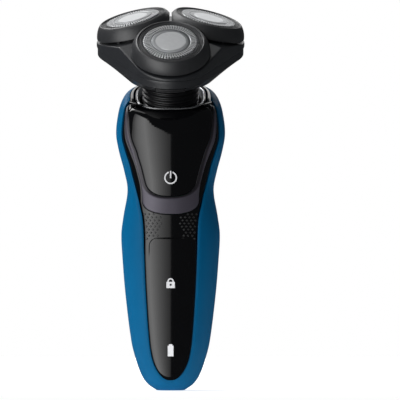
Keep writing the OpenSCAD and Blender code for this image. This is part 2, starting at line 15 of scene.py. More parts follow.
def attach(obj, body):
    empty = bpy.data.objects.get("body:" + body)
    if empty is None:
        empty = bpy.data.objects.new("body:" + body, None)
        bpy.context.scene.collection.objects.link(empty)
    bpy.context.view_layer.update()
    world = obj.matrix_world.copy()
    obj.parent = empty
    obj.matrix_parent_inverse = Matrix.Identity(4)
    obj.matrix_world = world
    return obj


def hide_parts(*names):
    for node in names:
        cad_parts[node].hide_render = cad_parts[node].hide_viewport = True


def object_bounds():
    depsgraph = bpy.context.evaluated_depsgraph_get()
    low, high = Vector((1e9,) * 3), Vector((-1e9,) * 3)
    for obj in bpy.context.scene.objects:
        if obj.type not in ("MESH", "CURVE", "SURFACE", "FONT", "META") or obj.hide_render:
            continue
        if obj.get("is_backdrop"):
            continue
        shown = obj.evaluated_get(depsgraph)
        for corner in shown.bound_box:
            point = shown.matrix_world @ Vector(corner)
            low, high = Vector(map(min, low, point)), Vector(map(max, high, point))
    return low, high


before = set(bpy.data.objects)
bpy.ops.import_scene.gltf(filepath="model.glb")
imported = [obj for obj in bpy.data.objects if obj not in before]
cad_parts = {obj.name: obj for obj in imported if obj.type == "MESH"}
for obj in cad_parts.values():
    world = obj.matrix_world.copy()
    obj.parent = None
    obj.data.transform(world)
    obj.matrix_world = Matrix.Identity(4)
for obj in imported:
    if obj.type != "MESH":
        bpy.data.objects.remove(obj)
cad_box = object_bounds()
scene = bpy.context.scene
MM = 0.001

# ---- Room ------------------------------------------------------------------------------------------
# A pale floor that the shaver stands on, seen level from the front with a long lens. The shaver stands
# a little left of the middle of the picture.
scene.view_settings.view_transform = "Standard"

bpy.ops.mesh.primitive_plane_add(size=0.6, location=(0, 0.24, -0.0002))
floor = bpy.context.object
floor.name = "floor"
floor.visible_glossy = False
floor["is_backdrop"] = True
pale = bpy.data.materials.new("pale_floor")
pale.use_nodes = True
pale_shader = pale.node_tree.nodes["Principled BSDF"]
for socket, value in (("Base Color", (0.9, 0.9, 0.9, 1)), ("Roughness", 0.9),
                      ("Emission Color", (1, 1, 1, 1)), ("Emission Strength", 0.72)):
    pale_shader.inputs[socket].default_value = value
floor.data.materials.append(pale)


def placed(name, data):
    """Puts a mesh, a lamp or a camera into the scene."""
    thing = bpy.data.objects.new(name, data)
    scene.collection.objects.link(thing)
    return thing


view_w, camera_gap, camera_z = 0.1681, 2.6, 0.0798
camera_data = bpy.data.cameras.new("front_camera")
camera_data.sensor_width = 36
camera_data.lens = 36 * camera_gap / view_w
camera_data.shift_x = 0.0735
camera = placed("front_camera", camera_data)
camera.location = (0, -camera_gap, camera_z)
camera.rotation_euler = (math.radians(90), 0, 0)
scene.camera = camera


def area_light(name, place, aim, size, power):
    """A rectangular soft light at place, turned towards aim."""
    data = bpy.data.lights.new(name, "AREA")
    data.shape = "RECTANGLE"
    data.size, data.size_y = size
    data.energy = power
    lamp = placed(name, data)
    lamp.location = place
    lamp.rotation_euler = (Vector(aim) - Vector(place)).to_track_quat("-Z", "Y").to_euler()
    return lamp


# A wall of narrow boxes to the front left ends at the middle, and grows brighter and taller away from
# it. Each glossy face mirrors it, so its left half runs from dark grey at the middle to a lighter grey.
wall_boxes, first_box_w, wall_y, brightest_at = 24, 0.03, -1.0, 0.6
for k in range(wall_boxes):
    near, far = (first_box_w * n * (1 + 0.1 * n) for n in (k, k + 1))
    wide, high = far - near, 1.04 + 0.95 * near
    glow = 0.42 + 3.4 * near if near < brightest_at else max(2.4 - 1.3 * (near - brightest_at), 0.7)
    x, z = -near - wide / 2, high / 2 - 0.8
    area_light("wall_box", (x, wall_y, z), (x, 0, z), (wide, high), glow * math.pi * wide * high)
# The key and the right box light the shell, but aren't mirrored in the glossy faces.
area_light("key", (-1.0, -0.3, 0.5), (0, 0, 0.1), (0.5, 0.7), 3.0).visible_glossy = False
area_light("box_left", (-0.65, 0.45, 1.0), (0, 0, 0.13), (0.7, 0.5), 5.0)
area_light("box_right", (1.0, -0.15, 0.3), (0, 0, 0.1), (0.4, 0.8), 0.5).visible_glossy = False
area_light("box_top", (-0.3, 0.0, 1.1), (-0.1, 0.1, 0.1), (0.9, 0.8), 2.3)
area_light("box_back", (0, 1.0, 0.68), (0, 0, 0.15), (1.1, 0.5), 2.2)

world = bpy.data.worlds.new("studio")
world.use_nodes = True
scene.world = world
tree = world.node_tree
seen = tree.nodes.new("ShaderNodeLightPath")
mix = tree.nodes.new("ShaderNodeMixShader")
tree.links.new(seen.outputs["Is Camera Ray"], mix.inputs["Fac"])
for k, (shade, strength) in enumerate((((0.9, 0.95, 1, 1), 0.045), ((1, 1, 1, 1), 1.0)), 1):
    sky = tree.nodes.new("ShaderNodeBackground")
    sky.inputs["Color"].default_value = shade
    sky.inputs["Strength"].default_value = strength
    tree.links.new(sky.outputs[0], mix.inputs[k])
tree.links.new(mix.outputs[0], tree.nodes["World Output"].inputs["Surface"])


# ---- Rear shell ------------------------------------------------------------------------------------
# One satin blue moulding that wraps the back and the sides, and closes under the front panel. Its edge
# beside the panel is rolled in, and the charging socket opens through its flat base.
class Value:
    """A number inside a material: arithmetic on it adds Math nodes."""

    def __init__(self, finish, socket):
        self.finish, self.socket = finish, socket

    def maths(self, operation, first, second):
        return self.finish.node("Math", {"operation": operation}, {0: first, 1: second})

    def __add__(self, other):
        return self.maths("ADD", self, other)

    __radd__ = __add__

    def __mul__(self, other):
        return self.maths("MULTIPLY", self, other)

    __rmul__ = __mul__

    def __sub__(self, other):
        return self.maths("SUBTRACT", self, other)


class Finish:
    """A node material with a Principled shader, built up by its methods."""

    def __init__(self, name, **sockets):
        self.material = bpy.data.materials.new(name)
        self.material.use_nodes = True
        self.nodes = self.material.node_tree.nodes
        self.links = self.material.node_tree.links
        self.shader = self.nodes["Principled BSDF"]
        for socket, value in sockets.items():
            self.put(self.shader, socket.replace("_", " "), value)

    def put(self, node, socket, value):
        """Links a Value to a node's socket, or sets the socket."""
        if isinstance(value, Value):
            self.links.new(value.socket, node.inputs[socket])
        elif isinstance(value, tuple) and len(value) == 3 and node.inputs[socket].type == "RGBA":
            node.inputs[socket].default_value = (*value, 1)
        else:
            node.inputs[socket].default_value = value

    def node(self, kind, settings=None, sockets=None, out=0):
        """Adds one node: its settings first, then the values or links of its sockets."""
        added = self.nodes.new("ShaderNode" + kind)
        for key, value in (settings or {}).items():
            if key == "stops":
                ramp = added.color_ramp.elements
                while len(ramp) < len(value):
                    ramp.new(0.5)
                for element, (at, shade) in zip(ramp, value):
                    element.position = at
                    element.color = (*shade, 1) if isinstance(shade, tuple) else (shade, shade, shade, 1)
            else:
                setattr(added, key, value)
        for socket, value in (sockets or {}).items():
            self.put(added, socket, value)
        return Value(self, added.outputs[out])

    def set(self, socket, value):
        self.put(self.shader, socket, value)

    def place(self):
        return self.node("TexCoord", out="Object")

    def noise(self, per_mm, detail=3.0, rough=0.5, stretch=None):
        """Noise between 0 and 1 with so many cells in a millimetre."""
        spot = self.place()
        if stretch:
            spot = self.node("Mapping", None, {"Vector": spot, "Scale": stretch})
        return self.node("TexNoise", None, {"Vector": spot, "Scale": per_mm / MM, "Detail": detail,
                                            "Roughness": rough}, out="Fac")

    def steps(self, value, stops):
        return self.node("ValToRGB", {"stops": stops}, {"Fac": value}, out="Color")

    def mix(self, factor, first, second):
        return self.node("Mix", {"data_type": "RGBA"}, {0: factor, 6: first, 7: second}, out=2)

    def bump(self, height, depth_mm):
        self.set("Normal", self.node("Bump", None, {"Height": height, "Distance": depth_mm * MM,
                                                    "Strength": 1.0}, out="Normal"))


def moulded(name, low, high, rough, grain_mm=0.25, depth_mm=0.012, **sockets):
    """Moulded plastic: fine spark-eroded grain, faint cloudiness, and handling marks in the gloss."""
    finish = Finish(name, **sockets)
    cloud = finish.noise(0.06, 4, 0.6)
    finish.set("Base Color", finish.mix(cloud, low, high))
    smear = finish.noise(0.18, 5, 0.65, stretch=(1, 1, 0.35))
    finish.set("Roughness", rough + (smear - 0.5) * (0.5 * rough))
    grain = finish.noise(1 / grain_mm, 2, 0.6)
    finish.bump(grain + finish.noise(0.3 / grain_mm, 2, 0.5) * 0.6, depth_mm)
    return finish


width_at = [[0, 5.9], [2.4, 9.4], [6, 12], [12, 14.3], [20, 16.4], [40, 18.95], [55, 20.2], [65.5, 20.7],
            [73, 19.8], [84, 18.1], [92, 19.5], [100, 21.6], [108, 22.9], [116, 22], [120.5, 20.4],
            [122.8, 18.4], [123.8, 15.6]]
front_at = [[0, 7], [2.4, 10], [6, 11.8], [12, 13], [20, 14], [40, 15], [60, 15.6], [73, 15.2], [84, 14.8],
            [96, 15.6], [108, 16.9], [116, 16.8], [120.5, 15.8], [122.8, 14.6], [123.8, 13.6]]
back_at = [[0, 8], [2.4, 11], [6, 13], [12, 14.4], [20, 15.8], [40, 17.4], [60, 18.8], [73, 18.6], [84, 18.8],
           [96, 21], [106, 21.87], [114, 21.2], [120.5, 18.6], [122.8, 16.8], [123.8, 15.4]]
panel_share = [[8, 0.53], [20, 0.552], [60, 0.55], [67, 0.557], [73, 0.61], [78, 0.70], [86, 0.84],
               [97, 0.872], [107, 0.902], [116, 0.935], [120, 0.96], [122.5, 0.984], [123.5, 0.996]]
panel_low, panel_round = 4.3, 11
panel_line = (panel_share, panel_low, panel_round)
rim_y, rim_z, head_tilt = 1, 123.8, math.radians(22.5)
shell_top = 123.3
lean_from, lean_over = 92, 28  # where the sections begin to slope, and how soon they are square to the head
edge_from, edge_over = 117, 6  # where an inset of the skin begins to point down instead of inwards


def clamp(value, low=0, high=1):
    return min(max(value, low), high)


def ease(value):
    value = clamp(value)
    return value * value * (3 - 2 * value)


def curve(stations, at):
    """A smooth cubic through [height, value] stations."""
    count = len(stations)
    i = 0
    while i < count - 2 and at >= stations[i + 1][0]:
        i += 1

    def slope(k):
        a, b = max(k - 1, 0), min(k + 1, count - 1)
        return (stations[b][1] - stations[a][1]) / (stations[b][0] - stations[a][0])

    (t0, a), (t1, b) = stations[i], stations[i + 1]
    h = t1 - t0
    u = clamp((at - t0) / h)
    return (a * (2 * u**3 - 3 * u**2 + 1) + slope(i) * h * (u**3 - 2 * u**2 + u)
            + b * (3 * u**2 - 2 * u**3) + slope(i + 1) * h * (u**3 - u**2))


def bow(at):
    """The cross-section's exponent: it squares up towards the rim."""
    return 2.3 + 0.6 * clamp((at - 108) / 15.7) ** 2


def lean_at(at):
    """The slope of a section from back to front: level below, and square to the head's axis at the rim."""
    return math.tan(head_tilt) * ease((at - lean_from) / lean_over)


def skin_point(x, y, at, sink):
    """A point of a section, with its height on that section's slope."""
    return Vector((x, y, at + lean_at(at) * (y - rim_y) - sink))


def front_point(share, at, inset=0.0):
    """The front of the body at a share of its half-width, inset in millimetres."""
    down = ease((at - edge_from) / edge_over)
    e = inset * (1 - 0.96 * down)
    y = -(curve(front_at, at) - e) * max(1 - min(abs(share), 1) ** bow(at), 0) ** (1 / bow(at))
    return skin_point(share * (curve(width_at, at) - e), y, at, inset * down)


def round_point(angle, at, inset=0.0):
    """The body at an angle from +X, where -90 degrees is the front."""
    down = ease((at - edge_from) / edge_over)
    e = inset * (1 - 0.96 * down)
    c, s = math.cos(angle), math.sin(angle)
    depth = curve(front_at if s < 0 else back_at, at) - e
    power = 2 / bow(at)
    return skin_point((curve(width_at, at) - e) * math.copysign(abs(c) ** power, c),
                      depth * math.copysign(abs(s) ** power, s), at, inset * down)


def u_edge(line, at, gap=0):
    """Half-width, as a share, of a U-shaped outline: (stations, low end, height it is rounded over)."""
    stations, low, round_h = line
    low += gap
    if at <= low:
        return 0
    full = curve(stations, at)
    return full if at >= low + round_h else full * (1 - (1 - (at - low) / round_h) ** 2.4) ** (1 / 2.4)


def u_distance(line, x, at):
    """How far in millimetres a point lies outside a U-shaped outline; negative inside."""
    stations, low, round_h = line
    full = curve(stations, max(at, stations[0][0])) * curve(width_at, max(at, low))
    up = clamp((low + round_h - at) / round_h, 0, 9)
    return ((abs(x) / full) ** 2.4 + up**2.4) ** (1 / 2.4) * full - full


def rows_between(*marks):
    """Heights from (height, step) marks: each stretch is cut evenly at its own step."""
    rows = []
    for (a, step), (b, _) in zip(marks, marks[1:]):
        count = max(1, round((b - a) / step))
        rows += [a + (b - a) * k / count for k in range(count)]
    return rows + [marks[-1][0]]


def piece_from(name, work):
    """Makes a piece of worked geometry, with its corners merged."""
    bmesh.ops.remove_doubles(work, verts=work.verts, dist=1e-7)
    mesh = bpy.data.meshes.new(name)
    work.to_mesh(mesh)
    work.free()
    return placed(name, mesh)


def skin(name, rings, closed, keep=None):
    """A smooth sheet through rings of points, with cells left out where keep(ring, column) is false."""
    count = len(rings[0])
    work = bmesh.new()
    spots = [[work.verts.new(point * MM) for point in ring] for ring in rings]
    for j in range(len(rings) - 1):
        for i in range(count if closed else count - 1):
            if keep is None or keep(j, i):
                k = (i + 1) % count
                work.faces.new((spots[j][i], spots[j][k], spots[j + 1][k], spots[j + 1][i]))
    bmesh.ops.delete(work, geom=[v for v in work.verts if not v.link_faces], context="VERTS")
    return piece_from(name, work)


def only(piece):
    """Selects one piece and makes it the active one."""
    if bpy.context.object and bpy.context.object.mode != "OBJECT":
        bpy.ops.object.mode_set(mode="OBJECT")
    bpy.ops.object.select_all(action="DESELECT")
    piece.select_set(True)
    bpy.context.view_layer.objects.active = piece
    return piece


def apply(piece, kind, **settings):
    """Adds a modifier and applies it."""
    only(piece)
    modifier = piece.modifiers.new(kind.lower(), kind)
    for key, value in settings.items():
        setattr(modifier, key, value)
    bpy.ops.object.modifier_apply(modifier=modifier.name)


def thicken(piece, thick):
    """Gives a sheet its wall, inwards."""
    apply(piece, "SOLIDIFY", thickness=thick * MM, offset=-1, use_even_offset=True)


def face_out(piece, close=False, merge=False):
    """Turns a solid's faces outwards, once its open ends are closed or its doubled corners merged."""
    only(piece)
    bpy.ops.object.mode_set(mode="EDIT")
    if close:
        bpy.ops.mesh.select_all(action="DESELECT")
        bpy.ops.mesh.select_non_manifold()
        bpy.ops.mesh.fill_holes(sides=0)
    bpy.ops.mesh.select_all(action="SELECT")
    if merge:
        bpy.ops.mesh.remove_doubles(threshold=1e-6)
    bpy.ops.mesh.normals_make_consistent(inside=False)
    bpy.ops.object.mode_set(mode="OBJECT")


def mark(mesh, name, value_at):
    """Stores a number at each vertex, for the finish to read."""
    attribute = mesh.attributes.new(name, "FLOAT", "POINT")
    for vertex, item in zip(mesh.vertices, attribute.data):
        item.value = value_at(vertex)


def finish_piece(piece, body, slot, finish, *nodes, angle=35):
    """Shades a piece, gives it its material, and fixes it to its body in place of the CAD nodes."""
    only(piece)
    bpy.ops.object.shade_smooth_by_angle(angle=math.radians(angle))
    piece.data.materials.clear()
    piece.data.materials.append(finish.material)
    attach(piece, body)
    if nodes:
        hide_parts(*nodes)
    return piece


shell_blue = moulded("blue_satin_plastic", (0.000, 0.105, 0.250), (0.0003, 0.128, 0.300), 0.45,
                     Specular_IOR_Level=0.12)
edge_reach, edge_drop = 1.3, 0.5
back_steps, front_steps = 120, 26
edge_steps = [0.0, 0.12, 0.3, 0.55, 0.85, 1.15, 1.4]
hole_w, hole_d, hole_y = 4.4, 3.0, 3.4


def shell_angles(at):
    """Angles of one ring: from the opening's right edge round the back to its left edge, then across."""
    half = curve(width_at, at)
    edge = max(u_edge(panel_line, max(at, panel_low + 0.01)) + 0.006, 0.05)
    right = [-math.acos(min(edge + step / half, 0.999) ** (bow(at) / 2)) for step in edge_steps]
    last = right[-1]
    back = [last + (math.pi - 2 * last) * k / back_steps for k in range(1, back_steps)]
    left = [math.pi - angle for angle in reversed(right)]
    across = [left[-1] + (math.tau + right[0] - left[-1]) * k / front_steps for k in range(1, front_steps)]
    return right + back + left + across


def shell_point(angle, at):
    point = round_point(angle, at)
    near = u_distance(panel_line, point.x, at) if point.y < 0 else 9
    return round_point(angle, at, edge_drop * clamp(1 - near / edge_reach) ** 2)


def hole_point(angle, z):
    c, s = math.cos(angle), math.sin(angle)
    return Vector((hole_w * math.copysign(abs(c) ** (2 / 3), c),
                   hole_y + hole_d * math.copysign(abs(s) ** (2 / 3), s), z))


shell_rows = rows_between((0.0, 0.3), (2.4, 0.4), (4.3, 0.12), (5.5, 0.35), (16, 1.2), (60, 1.0),
                          (100, 0.9), (117, 0.5), (122, 0.18), (shell_top, 1))
open_row = next(j for j, at in enumerate(shell_rows) if at >= panel_low)
floor_rings = [[hole_point(a, 0).lerp(round_point(a, 0), q) for a in shell_angles(0)] for q in (0, 0.5, 0.85)]
shell_rings = floor_rings + [[shell_point(a, at) for a in shell_angles(at)] for at in shell_rows]
back_count = back_steps + 2 * len(edge_steps) - 2
rear_shell = skin("rear_shell_moulding", shell_rings, True,
                  lambda j, i: j < open_row + len(floor_rings) or i < back_count)
thicken(rear_shell, 1.7)
apply(rear_shell, "BEVEL", width=0.12 * MM, segments=2, limit_method="ANGLE", angle_limit=math.radians(50))
finish_piece(rear_shell, "handle", "blue_shell", shell_blue, "rear_shell")


# ---- Front panel -----------------------------------------------------------------------------------
# A glossy black face snapped into the shell, with two thin arms running up beside the bezel. A shallow
# arch is stepped into it, and moulded lozenges on both sides of the waist give the thumb a grip.
panel_gloss = moulded("black_gloss_plastic", (0.0012, 0.0012, 0.0016), (0.002, 0.002, 0.0025), 0.07,
                      grain_mm=1.2, depth_mm=0.0012, Coat_Weight=0.5, Coat_Roughness=0.04,
                      Specular_IOR_Level=0.5)
bezel_share = [[73, 0.62], [80, 0.655], [85.6, 0.69], [99.5, 0.765], [110, 0.84], [117.7, 0.903],
               [120.5, 0.935], [122.5, 0.966], [123.5, 0.988]]
button_share = [[81, 0.54], [88, 0.60], [97.6, 0.65], [102.5, 0.668], [111.6, 0.75], [118.5, 0.825],
                [121, 0.88], [122.5, 0.935], [123.5, 0.972]]
bezel_low, button_low = 73.9, 81.3
bezel_line, button_line = (bezel_share, bezel_low, 6.5), (button_share, button_low, 6)
panel_gap = 0.13
arch_top, arch_fade, arch_half, arch_corner, arch_step = 63.8, 54.0, 9.0, 3.2, 0.42


def rolled(distance, reach, drop):
    """The drop of a rolled edge at a distance inside the outline."""
    return drop * clamp(1 - distance / reach) ** 2


def arch_level(x, at):
    """How far the face outside the arch lies below the face inside it."""
    low = arch_top - arch_corner
    if at < low:
        outside = abs(x) - arch_half
    else:
        outside = math.hypot(max(abs(x) - arch_half + arch_corner, 0), at - low) - arch_corner
    return arch_step * ease((outside + 0.25) / 0.5) * ease((at - arch_fade) / (arch_top - arch_fade))


def strip_columns(half_mm, edges, count, marks=()):
    """Column fractions across one half, fine at both edges (edge offsets in millimetres)."""
    inner = [e / half_mm for e in edges]
    outer = [1 - e / half_mm for e in reversed(edges)]
    middle = [inner[-1] + (outer[0] - inner[-1]) * k / count for k in range(1, count)]
    return sorted(set(inner + middle + outer + list(marks)))


def face_sheet(name, rows, outer, inner, columns, level, thick):
    """A sheet of the front face. outer and inner give half-widths as shares; inner may be 0."""
    rings = []
    for at in rows:
        wide, slim = outer(at), inner(at)
        right = [slim + (wide - slim) * f for f in columns]
        rings.append([front_point(share, at, level(share * curve(width_at, at), at))
                      for share in [-v for v in reversed(right)] + right])
    half = len(columns)
    sheet = skin(name, rings, False, lambda j, i: i != half - 1 or inner(rows[j]) + inner(rows[j + 1]) == 0)
    thicken(sheet, thick)
    return sheet


def shrunk(line, gap):
    """The half-width of a U-shaped outline made smaller by a gap all round."""
    return lambda at: max(u_edge(line, at, gap) - gap / curve(width_at, at), 0)


def hole_edge(line, gap, extra):
    """The half-width of a sheet's hole that lies a gap below the outline, and a little outside it."""
    return lambda at: u_edge(line, at, -gap) + (0 if at <= line[1] - gap else extra)


edge_offsets = [0, 0.05, 0.12, 0.22, 0.36, 0.55]
panel_outer = shrunk(panel_line, panel_gap)


def panel_level(x, at):
    inside = -u_distance(panel_line, x, at) - panel_gap
    level = rolled(inside, 0.6, 0.38) + arch_level(x, at)
    if at > bezel_low - 1:
        level += rolled(u_distance(bezel_line, x, at) - panel_gap, 0.45, 0.22)
    return level


panel_rows = rows_between((panel_low + panel_gap, 0.06), (panel_low + 0.8, 0.25), (10, 1.0), (54, 0.5),
                          (60.4, 0.16), (64.6, 0.5), (bezel_low - 0.8, 0.12), (bezel_low - panel_gap, 0.06),
                          (bezel_low + 0.7, 0.25), (82, 0.9), (117, 0.5), (122, 0.18), (123.5, 1))
panel_columns = strip_columns(11.2, edge_offsets, 26, [0.745 + 0.0125 * k for k in range(12)])
front_panel = face_sheet("front_panel_moulding", panel_rows, panel_outer,
                         hole_edge(bezel_line, panel_gap, 0.004), panel_columns, panel_level, 1.3)
finish_piece(front_panel, "handle", "black_gloss", panel_gloss, "front_panel", angle=40)

stud_low, stud_rows, stud_pitch, stud_step = 63.6, 9, 1.28, 1.82
stud_half_w, stud_half_h, stud_lift = 0.62, 0.5, 0.3


def stud_spots():
    """Middles of the lozenges: staggered rows whose ends follow the panel's edge."""
    for row in range(stud_rows):
        z = stud_low + row * stud_pitch
        edge = panel_outer(z) * curve(width_at, z) - 1.1
        near = 6.6 - 0.42 * row
        k = 0
        while True:
            x = edge - (0.5 * (row % 2) + k) * stud_step
            if x < near - 0.6 or k > 6:
                break
            off_arch = math.hypot(max(x - arch_half + arch_corner, 0), max(z - arch_top + arch_corner, 0))
            off_bezel = u_distance(bezel_line, x, z) > 1.0 or z < bezel_low - 1
            if off_bezel and off_arch - arch_corner > 0.8:
                yield x, z
                yield -x, z
            k += 1


def stud(work, x, z):
    """One lozenge: four sloping sides up to a flat top, rooted a little below the face."""
    corners = [(1, 0), (0, 1), (-1, 0), (0, -1)]
    layers = []
    for scale, lift in ((1.0, -0.12), (1.0, 0.05), (0.72, stud_lift), (0.55, stud_lift + 0.03)):
        layer = []
        for cx, cz in corners:
            px, pz = x + cx * stud_half_w * scale, z + cz * stud_half_h * scale
            base = panel_level(x, z)
            layer.append(work.verts.new(front_point(px / curve(width_at, pz), pz, base - lift) * MM))
        layers.append(layer)
    for low, high in zip(layers, layers[1:]):
        for k in range(4):
            work.faces.new((low[k], low[(k + 1) % 4], high[(k + 1) % 4], high[k]))
    work.faces.new(layers[-1])
    work.faces.new(list(reversed(layers[0])))


work = bmesh.new()
for spot_x, spot_z in stud_spots():
    stud(work, spot_x, spot_z)
bmesh.ops.recalc_face_normals(work, faces=work.faces)
studs = piece_from("grip_studs", work)
stud_satin = moulded("black_stud_satin", (0.020, 0.020, 0.022), (0.030, 0.030, 0.032), 0.38, grain_mm=0.1,
                     depth_mm=0.003, Specular_IOR_Level=0.9)
finish_piece(studs, "handle", "black_satin", stud_satin, angle=20)


# ---- Bezel -----------------------------------------------------------------------------------------
# A lilac-grey U with a satin coat that frames the power button: a wide face, and a chamfer that falls
# to the button, painted darker as shade. It is held by the front panel's edge.
bezel_satin = moulded("lilac_grey_satin", (0.084, 0.077, 0.100), (0.100, 0.092, 0.118), 0.36,
                      grain_mm=0.2, depth_mm=0.006, Metallic=0.35, Coat_Weight=0.15, Coat_Roughness=0.3)
# The chamfer is painted darker than the face, as shade; its mask is stored on the bezel below.
folded = bezel_satin.node("Attribute", {"attribute_name": "folded"}, out="Fac")
bezel_satin.set("Base Color", bezel_satin.mix(folded, (0.096, 0.088, 0.113), (0.026, 0.024, 0.030)))
chamfer_reach, chamfer_drop = 2.0, 0.5
bezel_gap, button_gap = 0.04, 0.16


def bezel_fold(x, at):
    """The chamfer's depth: zero on the face, growing over its reach towards the button."""
    gap = u_distance(button_line, x, at)
    reach = chamfer_reach * (1 - 0.45 * ease((at - 84) / 30))
    return chamfer_drop * ease((1 - gap / reach) * 0.8 + 0.1) if at > 70 else 0


def bezel_level(x, at):
    outside = -u_distance(bezel_line, x, at) - bezel_gap
    inside = u_distance(button_line, x, at) - button_gap
    return rolled(outside, 0.5, 0.3) + bezel_fold(x, at) + rolled(inside, 0.2, 0.1)


bezel_rows = rows_between((bezel_low + bezel_gap, 0.05), (bezel_low + 0.7, 0.2), (78.8, 0.1), (80.2, 0.12),
                          (button_low - button_gap, 0.05), (button_low + 0.7, 0.2), (88, 0.8), (117, 0.4),
                          (122, 0.18), (123.5, 1))
bezel_columns = strip_columns(5.0, [0, 0.08, 0.2, 0.4, 0.6], 22)
bezel_frame = face_sheet("bezel_moulding", bezel_rows, shrunk(bezel_line, bezel_gap),
                         hole_edge(button_line, button_gap, 0.008), bezel_columns, bezel_level, 1.2)


def chamfer_shade_at(vertex):
    """One on the chamfer, where shade is painted, and nought on the face; the point's own section is found in
    a few rounds.
    """
    x, y, z = vertex.co / MM
    at = z
    for _ in range(20):
        at = z - lean_at(at) * (y - rim_y)
    return clamp(bezel_fold(x, at) / chamfer_drop * 3 - 0.4)


mark(bezel_frame.data, "folded", chamfer_shade_at)
finish_piece(bezel_frame, "handle", "grey_bezel", bezel_satin, "bezel_frame", angle=30)


# ---- Power button ----------------------------------------------------------------------------------
# The whole glossy shield is one pressing that rocks on its top edge. It has rolled edges, and a clear
# white power mark is moulded into it.
button_rows = rows_between((button_low, 0.05), (button_low + 0.7, 0.2), (88, 0.8), (117, 0.4), (122, 0.18),
                           (123.3, 1))
button_columns = [0] + strip_columns(12.0, [0, 0.04, 0.1, 0.2, 0.34, 0.5], 26)[6:]
button_stop = 0.885


def button_level(x, at):
    inside = -u_distance(button_line, x, at)
    inside = min(inside, button_stop * curve(width_at, at) - abs(x))
    return 0.1 + rolled(inside, 0.5, 0.32)


def button_outer(at):
    return min(u_edge(button_line, at), button_stop)


power_button = face_sheet("power_button_shield", button_rows, button_outer, lambda at: 0, button_columns,
                          button_level, 1.2)
finish_piece(power_button, "button", "black_gloss", panel_gloss, "power_button", angle=40)

lens_white = Finish("white_lens", Roughness=0.35, Coat_Weight=0.3)
lens_white.set("Base Color", lens_white.mix(lens_white.noise(0.8, 3), (0.80, 0.81, 0.83), (0.88, 0.88, 0.89)))
lens_white.bump(lens_white.noise(3, 2), 0.004)
lens_white.set("Emission Color", (0.9, 0.92, 1.0))
lens_white.shader.inputs["Emission Strength"].default_value = 0.12


def metal(name, dark, light, cloud, rough, spread, smear, grain, depth_mm):
    """Bare metal: a cloudy tone, smears in its gloss and a fine grain. cloud, smear and grain are noises."""
    finish = Finish(name, Metallic=1.0)
    finish.set("Base Color", finish.mix(finish.noise(*cloud), dark, light))
    finish.set("Roughness", rough + finish.noise(*smear) * spread)
    finish.bump(finish.noise(*grain), depth_mm)
    return finish


def keep_cad(node, finish):
    """Gives a CAD piece that needs no better shape its material."""
    piece = bpy.data.objects[node]
    piece.data.materials.clear()
    piece.data.materials.append(finish.material)


for icon in ("power_icon_lens", "lock_icon_lens", "battery_icon_lens"):
    keep_cad(icon, lens_white)


# ---- Neck rim, socket and seal ---------------------------------------------------------------------
# A rounded-square rim crowns the handle and slopes in like a funnel to the coupling socket. Its crest and
# its inner slope are plated, and its outer wall is black. The socket is a black cup on the motor's deck,
# with a soft seal where the motor's coupler comes through.
def shift(x, y, z):
    """A move by millimetres."""
    return Matrix.Translation((x * MM, y * MM, z * MM))


def turn(degrees, axis):
    return Matrix.Rotation(math.radians(degrees), 4, axis)


def out_to(angle, reach):
    """The place at a reach from the axis, turned about it by an angle."""
    return Matrix.Rotation(angle, 4, "Z") @ shift(reach, 0, 0)


cap_h = 31.4
head_frame = (shift(0, rim_y - cap_h * math.sin(head_tilt), rim_z + cap_h * math.cos(head_tilt))
              @ Matrix.Rotation(head_tilt, 4, "X"))
rim_out, rim_power, rim_steps = 14.9, 2.9, 144
socket_r, socket_floor = 13.0, -37.3

chrome = Finish("chrome_plating")
plated = chrome.node("Attribute", {"attribute_name": "plated"}, out="Fac")
chrome.set("Base Color", chrome.mix(plated, (0.002, 0.002, 0.003), (0.80, 0.81, 0.83)))
chrome.set("Metallic", plated)
chrome.set("Roughness", 0.12 + plated * 0.12 + chrome.noise(1.2, 4, 0.6) * 0.08)
chrome.bump(chrome.noise(2.5, 2), 0.003)

deep_black = moulded("deep_black_plastic", (0.010, 0.010, 0.011), (0.016, 0.016, 0.017), 0.42)
rubber = moulded("black_rubber", (0.005, 0.005, 0.006), (0.008, 0.008, 0.009), 0.32, grain_mm=0.12,
                 depth_mm=0.004, Specular_IOR_Level=0.5)


def rounded(corners, steps):
    """A profile from (radius, height, fillet) corners, with each fillet cut into steps."""
    points = []
    count = len(corners)
    for i, (r, z, fillet) in enumerate(corners):
        here = Vector((r, z))
        before = Vector(corners[i - 1][:2]) - here
        after = Vector(corners[(i + 1) % count][:2]) - here
        if not fillet or before.length < 1e-6 or after.length < 1e-6:
            points.append((r, z))
            continue
        start = here + before.normalized() * min(fillet, before.length * 0.48)
        end = here + after.normalized() * min(fillet, after.length * 0.48)
        for k in range(steps + 1):
            u = k / steps
            spot = start * (1 - u) ** 2 + here * 2 * u * (1 - u) + end * u * u
            points.append((spot.x, spot.y))
    return points


def turning_radius(vertex):
    return math.hypot(vertex.co.x, vertex.co.y) / MM


def lathe(name, corners, steps=96, place=None, round_steps=4):
    """Spins a closed profile of (radius, height, fillet) corners about Z, then moves it by a matrix."""
    mesh = bpy.data.meshes.new(name)
    profile = rounded(corners, round_steps)
    count = len(profile)
    edges = [(k, (k + 1) % count) for k in range(count)]
    mesh.from_pydata([(r * MM, 0, z * MM) for r, z in profile], edges, [])
    piece = placed(name, mesh)
    only(piece)
    bpy.ops.object.mode_set(mode="EDIT")
    bpy.ops.mesh.select_all(action="SELECT")
    bpy.ops.mesh.spin(steps=steps, angle=math.tau, center=(0, 0, 0), axis=(0, 0, 1))
    face_out(piece, merge=True)
    mark(mesh, "turned", turning_radius)
    if place:
        mesh.transform(place)
    return piece


def rim_ring(radius, z):
    """A rounded square about the head axis."""
    ring = []
    for k in range(rim_steps):
        c, s = math.cos(math.tau * k / rim_steps), math.sin(math.tau * k / rim_steps)
        ring.append(Vector((radius * math.copysign(abs(c) ** (2 / rim_power), c),
                            radius * math.copysign(abs(s) ** (2 / rim_power), s), z)))
    return ring


